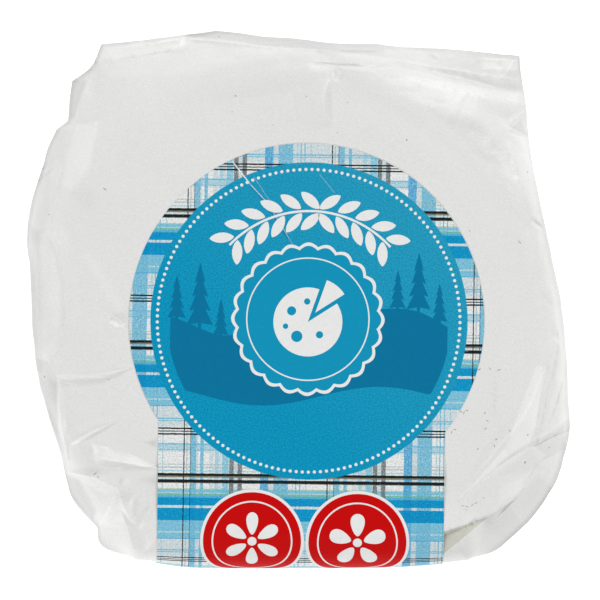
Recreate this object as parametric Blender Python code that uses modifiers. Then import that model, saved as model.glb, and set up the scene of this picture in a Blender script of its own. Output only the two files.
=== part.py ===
# Camembert: a 250 g wheel shut in white satin film, with a printed paper label
# that is stuck on its top, runs down its front and holds the wrap shut underneath.
# Metres, +Z up. The origin is the middle of the pack's outline, on the surface it lies on.
# +Y is the back, where the film ends in two flat corners. -Y is the front, under the label.

import math

import bmesh
import bpy
from mathutils import Vector
from mathutils.geometry import interpolate_bezier

MM = 0.001

# The wheel inside the film
WHEEL_RADIUS = 54.0 * MM
WHEEL_CENTRE = Vector((0.0, -3.5 * MM))
FILM_TOP = 31.4 * MM            # height of the film's flat top
RIM_START = 50.0 * MM           # where the flat top starts to roll off round the rim
RIM_SLUMP = 0.7 * MM            # how far the top has sunk by the time it gets there
BASE_RADIUS = 49.5 * MM         # the ring on which the film meets the table

# The front, where film and label run straight down over a line across the pack
FRONT_TURN = math.radians(0.9)  # that line's turn, anticlockwise from above
FRONT_DEPTH = 58.0 * MM         # film's front wall, measured from the origin
FRONT_HALF = 36.5 * MM          # half length of the straight wall
FRONT_BLEND = 9.0 * MM          # the wall turns into the loose side over this length
TOP_BEND = 8.4 * MM             # radius of the film over the front edge
LOW_BEND = 3.0 * MM             # and round the lower edge
FRONT_EDGE_HEIGHT = 15.0 * MM
RECESS_HEIGHT = 1.0 * MM        # the film underneath is pressed up to take the label
RECESS_DEPTH = 23.0 * MM        # how far in from the front wall the recess runs
RECESS_STEP = 1.5 * MM
RECESS_ANGLE = math.radians(50.0)   # it spans this much to either side of the front
RECESS_FADE = math.radians(12.0)
BASE_RING = 3.0 * MM            # width of the base outside the line where a recess would end

# The label, flat: a round head and a strip, in a frame turned with the print
LABEL_GAP = 0.32 * MM
LABEL_THICKNESS = 0.3 * MM
LABEL_TURN = math.radians(-0.7)
LABEL_CENTRE = Vector((1.87 * MM, -4.73 * MM))
LABEL_RADIUS = 39.1 * MM
STRIP_LEFT = -32.3 * MM         # strip's edges from the head's centre, along the print
STRIP_RIGHT = 30.75 * MM
STRIP_UNDER = 18.0 * MM         # length of strip stuck on the underside

# Edge of the pack from above, clockwise from the back left corner, without the front wall:
# x and y in mm, height of the edge above the table in mm, and whether it is a sharp fold
OUTLINE = [
    (-43.1, 56.0, 9.0, True),
    (-30.5, 57.4, 11.0, False),
    (-18.0, 59.1, 13.0, True),
    (-7.9, 57.9, 14.0, False),
    (7.0, 56.4, 15.0, False),
    (33.4, 54.9, 12.5, False),
    (48.6, 53.4, 9.0, True),
    (49.5, 46.0, 10.0, False),
    (51.0, 32.9, 12.0, False),
    (53.9, 17.0, 14.0, False),
    (58.3, -5.5, 15.0, False),
    (59.4, -22.1, 15.0, False),
    (58.6, -33.5, 14.0, False),
    (54.3, -43.7, 13.0, False),
    (44.4, -54.0, 12.0, False),
    (-42.7, -54.0, 11.0, False),
    (-43.9, -50.0, 11.0, True),
    (-49.7, -42.4, 13.0, False),
    (-52.8, -30.9, 14.0, False),
    (-57.2, -16.0, 15.0, False),
    (-58.5, 4.0, 15.0, False),
    (-59.4, 16.4, 14.0, False),
    (-56.0, 30.0, 13.0, False),
    (-53.0, 37.3, 12.0, True),
    (-50.6, 39.2, 12.0, True),
    (-49.5, 47.9, 11.0, True),
    (-45.1, 51.4, 10.0, False),
]
FRONT_AFTER = 14                # the front wall follows this outline point
COLUMN_SPACING = 2.2 * MM

# Main folds of the film that show from above: points in mm, height and half width in mm
FOLDS = {
    "back_right_ridge": ([(7.5, 50.1), (22.4, 48.3), (48.0, 42.8)], 1.3, 4.0),
    "back_left_crease": ([(-44.7, 52.3), (-30.4, 54.5), (-26.0, 57.5)], 0.9, 3.5),
    "back_middle_crease": ([(6.2, 48.7), (5.3, 42.8), (7.5, 37.3)], 0.5, 3.0),
    "left_ridge": ([(-44.7, 38.4), (-50.2, 26.3), (-53.5, 16.4), (-51.9, -0.1), (-54.6, -12.2)], 0.9, 3.5),
    "left_crease": ([(-54.1, -17.3), (-43.6, -16.6)], 0.7, 3.0),
    "lower_left_star": ([(-51.3, -37.5), (-39.8, -41.9), (-43.6, -49.6)], 1.2, 3.5),
    "right_ridge": ([(50.4, 35.1), (51.0, 10.9)], 0.8, 3.5),
    "right_diagonal": ([(55.8, -8.9), (52.1, -22.1), (45.5, -29.8), (38.5, -40.0)], 1.0, 3.5),
}

# How the loft is divided
FLAT_SHARE = 0.84               # share of the way to the rim over which the top is quite flat
TOP_RINGS = (0.5, FLAT_SHARE, 0.88, 0.92, 0.96)  # rings inside the rim, as shares of that way
TOP_BEND_STEPS = 8
LOW_BEND_STEPS = 5
EDGE_RING = TOP_BEND_STEPS + 1  # the ring of the outline, counted from the rim
HEAD_STEPS = 84
PLEAT_EVERY = 3                 # every third column is drawn in below the edge, as a pleat
PLEAT_DEPTH = 0.9 * MM

FILM_COLOUR = (0.76, 0.76, 0.745)
LABEL_COLOUR = (0.02, 0.30, 0.50)


def clear_scene():
    for thing in list(bpy.data.objects):
        bpy.data.objects.remove(thing, do_unlink=True)


def make_material(name, colour, roughness):
    material = bpy.data.materials.new(name)
    material.use_nodes = True
    shader = material.node_tree.nodes["Principled BSDF"]
    shader.inputs["Base Color"].default_value = (*colour, 1.0)
    shader.inputs["Roughness"].default_value = roughness
    shader.inputs["Metallic"].default_value = 0.0
    return material


def smoothstep(value):
    value = min(1.0, max(0.0, value))
    return value * value * (3.0 - 2.0 * value)


def front_axes():
    """Unit vectors along the front line, to the right, and from it to the back."""
    along = Vector((math.cos(FRONT_TURN), math.sin(FRONT_TURN)))
    inward = Vector((-math.sin(FRONT_TURN), math.cos(FRONT_TURN)))
    return along, inward


def front_point(across):
    along, inward = front_axes()
    return along * across - inward * FRONT_DEPTH


def outline_points():
    """The whole outline, with the front wall's two ends set in: point, edge height, sharp."""
    points = [(Vector((x, y)) * MM, height * MM, sharp) for x, y, height, sharp in OUTLINE]
    wall = [(front_point(across), FRONT_EDGE_HEIGHT, True) for across in (FRONT_HALF, -FRONT_HALF)]
    return points[:FRONT_AFTER + 1] + wall + points[FRONT_AFTER + 1:]


def edge_columns():
    """Points along the outline about COLUMN_SPACING apart, each with its edge height."""
    points = outline_points()
    count = len(points)
    columns = []
    for i in range(count):
        before, start, end, after = (points[(i + k) % count] for k in (-1, 0, 1, 2))
        p0, p1, p2, p3 = before[0], start[0], end[0], after[0]
        if start[2]:
            p0 = p1 * 2.0 - p2
        if end[2]:
            p3 = p2 * 2.0 - p1
        steps = max(1, round((p2 - p1).length / COLUMN_SPACING))
        curve = interpolate_bezier(p1, p1 + (p2 - p0) / 6.0, p2 - (p3 - p1) / 6.0, p2, steps + 1)
        for step in range(steps):
            height = start[1] + (end[1] - start[1]) * step / steps
            columns.append((curve[step].to_2d(), height))
    return columns


def wall_share(edge):
    """1 on the straight front wall, falling to 0 where the film hangs loose at the sides."""
    along, inward = front_axes()
    if edge.dot(inward) > -FRONT_DEPTH / 2.0:
        return 0.0
    return 1.0 - smoothstep((abs(edge.dot(along)) - FRONT_HALF) / FRONT_BLEND)


def recess_share(ray):
    """1 over the front of the underside, where it is pressed up for the label, else 0."""
    inward = front_axes()[1]
    angle = math.acos(max(-1.0, min(1.0, -ray.dot(inward))))
    return 1.0 - smoothstep((angle - RECESS_ANGLE) / RECESS_FADE)


def recess_end(ray):
    """Distance from the wheel's centre to the recess's inner end, or to the base's ring."""
    inward = front_axes()[1]
    ring = BASE_RADIUS - BASE_RING
    towards_front = -ray.dot(inward)
    if towards_front <= 0.0:
        return ring
    return min(ring, (FRONT_DEPTH + WHEEL_CENTRE.dot(inward) - RECESS_DEPTH) / towards_front)


def wall_profile():
    """The front wall's section: depth in from the wall and height, top to underside."""
    section = []
    for i in range(TOP_BEND_STEPS + 1):
        angle = math.radians(90.0) * i / TOP_BEND_STEPS
        section.append((TOP_BEND * (1.0 - math.sin(angle)), FILM_TOP - TOP_BEND * (1.0 - math.cos(angle))))
    section.append((0.0, FRONT_EDGE_HEIGHT))
    for i in range(LOW_BEND_STEPS + 1):
        angle = math.radians(90.0) * i / LOW_BEND_STEPS
        height = RECESS_HEIGHT + LOW_BEND * (1.0 - math.sin(angle))
        section.append((LOW_BEND * (1.0 - math.cos(angle)), height))
    return section


def side_profile(reach, edge_height, base_height):
    """The loose film's section: radius and height, rim to base, as many points as the wall's."""
    loose = smoothstep((reach - WHEEL_RADIUS - 4.0 * MM) / (13.0 * MM))
    rim_height = FILM_TOP - RIM_SLUMP
    width = reach - RIM_START
    over = interpolate_bezier(
        Vector((RIM_START, rim_height)),
        Vector((RIM_START + (0.75 - 0.45 * loose) * width, rim_height)),
        Vector((reach - 0.5 * loose * width, edge_height + (0.7 - 0.2 * loose) * (rim_height - edge_height))),
        Vector((reach, edge_height)),
        TOP_BEND_STEPS + 2)
    under = interpolate_bezier(
        Vector((reach, edge_height)),
        Vector((reach - 0.5 * loose * width, edge_height * 0.4)),
        Vector((BASE_RADIUS + 0.4 * (reach - BASE_RADIUS), base_height)),
        Vector((BASE_RADIUS, base_height)),
        LOW_BEND_STEPS + 2)
    return [point.to_2d() for point in over] + [point.to_2d() for point in under[1:]]


def fold_relief(x, y):
    """Height that the folds add at a place on the upper side."""
    place = Vector((x, y))
    total = 0.0
    for points, height, half_width in FOLDS.values():
        route = [Vector(point) * MM for point in points]
        nearest = 1.0
        for start, end in zip(route, route[1:]):
            run = end - start
            share = min(1.0, max(0.0, (place - start).dot(run) / run.length_squared))
            nearest = min(nearest, (place - start - run * share).length)
        total += height * MM * max(0.0, 1.0 - nearest / (half_width * MM))
    return total


def column_points(edge, edge_height, pleated):
    """One column of the loft, from the first ring on top to the last one underneath."""
    ray = edge - WHEEL_CENTRE
    reach = ray.length
    ray.normalize()
    inward = front_axes()[1]
    wall = wall_share(edge)
    slant = max(0.5, abs(ray.dot(inward)))
    base_height = RECESS_HEIGHT * recess_share(ray)
    rim_to_base = []
    sections = zip(wall_profile(), side_profile(reach, edge_height, base_height))
    for ring, ((depth, wall_height), (radius, side_height)) in enumerate(sections):
        distance = (reach - depth / slant) * wall + radius * (1.0 - wall)
        height = wall_height * wall + side_height * (1.0 - wall)
        if pleated and ring > EDGE_RING:
            distance -= PLEAT_DEPTH * (1.0 - wall)
        rim_to_base.append((distance, height))
    inner = recess_end(ray)
    rim_to_base += [(inner, base_height), (inner - RECESS_STEP, 0.0)]
    rim, rim_height = rim_to_base[0]
    points = []
    for share in TOP_RINGS:
        fall = max(0.0, (share - FLAT_SHARE) / (1.0 - FLAT_SHARE))
        points.append((rim * share, FILM_TOP + (rim_height - FILM_TOP) * fall))
    points += rim_to_base
    placed = []
    last_upper = len(TOP_RINGS) + TOP_BEND_STEPS
    for index, (distance, height) in enumerate(points):
        flat = WHEEL_CENTRE + ray * distance
        if 1 < index <= last_upper:
            fade = 1.0 - smoothstep((index - len(TOP_RINGS) - 2) / TOP_BEND_STEPS)
            height += fold_relief(flat.x, flat.y) * fade * (1.0 - wall)
        placed.append(Vector((flat.x, flat.y, height)))
    return placed


def build_wrapped_wheel(collection):
    """The shut pack as one solid: a loft of rings, closed by a fan at top and bottom."""
    mesh = bpy.data.meshes.new("wrapped_wheel")
    shape = bmesh.new()
    columns = []
    for index, (edge, edge_height) in enumerate(edge_columns()):
        points = column_points(edge, edge_height, index % PLEAT_EVERY == 0)
        columns.append([shape.verts.new(point) for point in points])
    top = shape.verts.new((WHEEL_CENTRE.x, WHEEL_CENTRE.y, FILM_TOP))
    bottom = shape.verts.new((WHEEL_CENTRE.x, WHEEL_CENTRE.y, 0.0))
    for i, column in enumerate(columns):
        following = columns[(i + 1) % len(columns)]
        shape.faces.new((top, following[0], column[0]))
        shape.faces.new((bottom, column[-1], following[-1]))
        for ring in range(len(column) - 1):
            shape.faces.new((column[ring], following[ring], following[ring + 1], column[ring + 1]))
    bmesh.ops.triangulate(shape, faces=[face for face in shape.faces if len(face.verts) == 4])
    bmesh.ops.recalc_face_normals(shape, faces=shape.faces)
    shape.to_mesh(mesh)
    shape.free()
    mesh.shade_smooth()
    mesh.set_sharp_from_angle(angle=math.radians(25.0))
    wheel = bpy.data.objects.new("wrapped_wheel", mesh)
    wheel.data.materials.append(make_material("satin_film", FILM_COLOUR, 0.38))
    collection.objects.link(wheel)


def drape(across, depth):
    """Place on the label's inner face for a point of the flat label.

    across runs along the front line and depth is the distance from the front wall
    measured over the flat top, negative once the paper has passed the edge's bend."""
    along, inward = front_axes()
    bend = TOP_BEND + LABEL_GAP
    low = LOW_BEND + LABEL_GAP
    upper_arc = math.radians(90.0) * bend
    lower_arc = math.radians(90.0) * low
    top_height = FILM_TOP + LABEL_GAP
    wall_run = top_height - bend - (RECESS_HEIGHT - LABEL_GAP) - low
    wall = -FRONT_DEPTH - LABEL_GAP
    travel = bend - depth
    if travel <= 0.0:
        place, height = wall + depth, top_height
    elif travel <= upper_arc:
        angle = travel / bend
        place, height = wall + bend * (1.0 - math.sin(angle)), top_height - bend * (1.0 - math.cos(angle))
    elif travel <= upper_arc + wall_run:
        place, height = wall, top_height - bend - (travel - upper_arc)
    elif travel <= upper_arc + wall_run + lower_arc:
        angle = (travel - upper_arc - wall_run) / low
        place = wall + low * (1.0 - math.cos(angle))
        height = RECESS_HEIGHT - LABEL_GAP + low * (1.0 - math.sin(angle))
    else:
        place = wall + low + travel - upper_arc - wall_run - lower_arc
        height = RECESS_HEIGHT - LABEL_GAP
    flat = along * across + inward * place
    return Vector((flat.x, flat.y, height))


def label_rows():
    """Depths of the rows across the strip, from the start of its bend to its far end."""
    bend = TOP_BEND + LABEL_GAP
    low = LOW_BEND + LABEL_GAP
    wall_run = FILM_TOP + LABEL_GAP - bend - (RECESS_HEIGHT - LABEL_GAP) - low
    travels = [math.radians(90.0) * bend * i / TOP_BEND_STEPS for i in range(TOP_BEND_STEPS + 1)]
    wall_end = travels[-1] + wall_run
    travels += [wall_end + math.radians(90.0) * low * i / LOW_BEND_STEPS for i in range(LOW_BEND_STEPS + 1)]
    travels.append(travels[-1] + STRIP_UNDER)
    return [bend - travel for travel in travels]


def build_label(collection):
    """Round head and strip as one open sheet over the film, given its thickness outwards."""
    along, inward = front_axes()
    wall = -FRONT_DEPTH - LABEL_GAP
    turn = LABEL_TURN - FRONT_TURN
    head_across = LABEL_CENTRE.dot(along)
    head_depth = LABEL_CENTRE.dot(inward) - wall

    def from_print(right, up):
        """Flat place, across and depth, of a point given in the print's own frame."""
        across = head_across + right * math.cos(turn) - up * math.sin(turn)
        depth = head_depth + right * math.sin(turn) + up * math.cos(turn)
        return across, depth

    def strip_edge(right, depth):
        """Point of a strip's edge, given by its place in the print, at a row's depth."""
        up = (depth - head_depth - right * math.sin(turn)) / math.cos(turn)
        return from_print(right, up)

    start = math.atan2(-math.sqrt(LABEL_RADIUS ** 2 - STRIP_RIGHT ** 2), STRIP_RIGHT)
    end = math.atan2(-math.sqrt(LABEL_RADIUS ** 2 - STRIP_LEFT ** 2), STRIP_LEFT) + math.tau
    head = []
    for i in range(HEAD_STEPS + 1):
        angle = start + (end - start) * i / HEAD_STEPS
        head.append(from_print(LABEL_RADIUS * math.cos(angle), LABEL_RADIUS * math.sin(angle)))

    shape = bmesh.new()
    rows = []
    for depth in label_rows():
        pair = [strip_edge(right, depth) for right in (STRIP_LEFT, STRIP_RIGHT)]
        rows.append([shape.verts.new(drape(across, flat)) for across, flat in pair])
    head_verts = [shape.verts.new(drape(across, depth)) for across, depth in head]
    shape.faces.new(head_verts + [rows[0][0], rows[0][1]])
    for (left, right), (next_left, next_right) in zip(rows, rows[1:]):
        shape.faces.new((right, left, next_left, next_right))
    mesh = bpy.data.meshes.new("label")
    shape.to_mesh(mesh)
    shape.free()
    label = bpy.data.objects.new("label", mesh)
    label.data.materials.append(make_material("printed_label", LABEL_COLOUR, 0.45))
    collection.objects.link(label)
    paper = label.modifiers.new("paper", "SOLIDIFY")
    paper.thickness = LABEL_THICKNESS
    paper.offset = 1.0
    paper.use_even_offset = True


def main():
    clear_scene()
    pack = bpy.data.collections.new("camembert")
    bpy.context.scene.collection.children.link(pack)
    build_wrapped_wheel(pack)
    build_label(pack)


main()
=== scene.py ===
import math

import bmesh
import bpy
import numpy as np
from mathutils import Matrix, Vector, noise
from mathutils.bvhtree import BVHTree
from mathutils.geometry import interpolate_bezier


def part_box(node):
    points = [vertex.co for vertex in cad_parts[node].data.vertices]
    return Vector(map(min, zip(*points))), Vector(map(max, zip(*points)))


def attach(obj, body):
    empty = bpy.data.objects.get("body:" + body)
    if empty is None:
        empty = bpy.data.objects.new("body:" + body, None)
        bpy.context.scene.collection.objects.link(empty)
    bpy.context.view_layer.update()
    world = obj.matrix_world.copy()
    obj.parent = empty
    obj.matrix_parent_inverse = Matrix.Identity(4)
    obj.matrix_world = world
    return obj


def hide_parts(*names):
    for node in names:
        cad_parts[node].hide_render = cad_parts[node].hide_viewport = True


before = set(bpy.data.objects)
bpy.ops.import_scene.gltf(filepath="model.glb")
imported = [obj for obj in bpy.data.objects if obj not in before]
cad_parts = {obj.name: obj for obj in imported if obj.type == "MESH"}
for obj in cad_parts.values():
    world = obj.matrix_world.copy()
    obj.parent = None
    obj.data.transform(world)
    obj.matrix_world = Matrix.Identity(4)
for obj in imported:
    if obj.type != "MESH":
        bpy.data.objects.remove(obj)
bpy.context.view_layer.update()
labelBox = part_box("label")
mm = 0.001

# Wrapped camembert seen from above: back of the pack is +Y, the label runs down the front at -Y.
# The form repeats the frame's: a wheel, film that hangs loose round it, a straight wall in front.
packForm = {
    "wheelRadius": 54.0 * mm,
    "wheelCentre": (0.0, -3.5 * mm),
    "filmTop": labelBox[1].z - 0.42 * mm,   # paper and its gap come on top of this
    "rimStart": 51.0 * mm,                  # the top starts to roll off here
    "rimSlump": 0.6 * mm,
    "flatShare": 0.86,
    "baseRadius": 49.5 * mm,
    "outlineSpread": 1.0055,                # the outline lies lower than the label, so it is seen smaller
    "frontTurn": math.radians(0.9),         # fold line of the front wall, against X
    "frontDepth": 58.42 * mm,
    "frontHalf": 36.5 * mm,
    "frontBlend": 9.0 * mm,
    "topBend": 8.55 * mm,                   # film over the front edge
    "lowBend": 3.1 * mm,
    "frontEdgeHeight": 15.0 * mm,
    "recessHeight": 0.85 * mm,              # underside is pressed up where the strip is stuck
    "recessDepth": 23.0 * mm,
    "recessStep": 1.5 * mm,
    "recessAngle": math.radians(50.0),
    "recessFade": math.radians(12.0),
    "baseRing": 3.0 * mm,
    "looseFrom": 4.0 * mm,                  # sides that stand out so far past the wheel hang loose
    "looseOver": 13.0 * mm,
    "swellFrom": 40.0 * mm,                 # the front wall's swell starts here on the top
    "swellOver": 12.0 * mm,
}

# How far the front wall swells out, in mm, against the place along it
frontSwell = [(-46.0, 0.0), (-40.0, -0.8), (-36.5, -2.2), (-31.9, -0.9), (-24.7, 0.15), (-11.5, 0.4),
              (6.1, 0.65), (21.5, 0.7), (31.4, 0.15), (36.5, -0.6), (42.0, -0.1), (46.0, 0.0)]

# Outline clockwise from the back left corner, without the front wall: x, y, height of the edge, sharp
packOutline = [
    (-43.1, 56.0, 19.0, True), (-30.5, 57.4, 18.0, False), (-18.0, 59.1, 17.0, True),
    (-7.9, 57.9, 16.0, False), (7.0, 56.4, 15.5, False), (33.4, 54.9, 18.0, False),
    (48.6, 53.4, 20.0, True), (49.5, 46.0, 19.0, False), (51.0, 32.9, 17.0, False),
    (53.9, 17.0, 15.0, False), (58.3, -5.5, 15.0, False), (59.4, -22.1, 15.0, False),
    (58.6, -33.5, 15.0, False), (54.5, -44.0, 16.0, False), (44.6, -54.4, 15.0, False),
    (-42.9, -54.3, 14.0, False), (-44.2, -50.2, 15.0, True), (-50.0, -42.6, 15.0, False),
    (-52.8, -30.9, 15.0, False), (-57.2, -16.0, 15.0, False), (-58.5, 4.0, 15.0, False),
    (-59.4, 16.4, 15.0, False), (-56.0, 30.0, 16.0, False), (-53.0, 37.3, 17.0, True),
    (-50.6, 39.2, 17.5, True), (-49.5, 47.9, 18.5, True), (-45.1, 51.4, 19.0, False),
]
frontAfter = 14                             # the wall follows this point

filmMesh = {
    "columnSpacing": 0.52 * mm,
    "innerRings": 12,                       # under the label's head
    "outerRings": 27,                       # bare film from there to the rim
    "innerShare": 0.3,
    "bareShare": 0.74,
    "upperRings": 40,                       # rim to the outline
    "lowerRings": 24,                       # outline to the base
    "underRings": 22,                       # base to the middle of the underside
    "topWave": 0.16 * mm,                   # long soft waves in the top
    "topWaveLength": 26.0 * mm,
    "crumple": 0.42 * mm,                   # flat facets of the loose film
    "crumpleLength": 8.5 * mm,
    "snap": 0.25 * mm,
    "cornerColumns": 20,                    # over this many columns the outline's corners even out
    "cornerFrom": 0.55,                     # and so far down from the rim they start to show
    "middleShare": 0.12,                    # size of the underside's smallest ring
    # ridges this high get the whole painted highlight on their crest
    "fullCrease": 0.8 * mm,
    "tightCrumple": 0.12,                   # share of the crumple that tight film keeps
    "waveFade": 8,                          # rings past the rim over which the long waves end
    "waveFrontFade": 12.0 * mm,
    # ring past the rim where it starts and rings to full, ring past the base where it ends and rings to it
    "slackSpan": (-14, 30, 4, 10),
    "pleatSpan": (10, 24, 2, 8),
    "pleatGrowth": (1, 10),                 # the same past the outline
    "looseOver": 9.0 * mm,                  # bare film turns whiter over this distance past the rim
    "wallTight": 0.6,
    "seed": 7,
}

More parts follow.
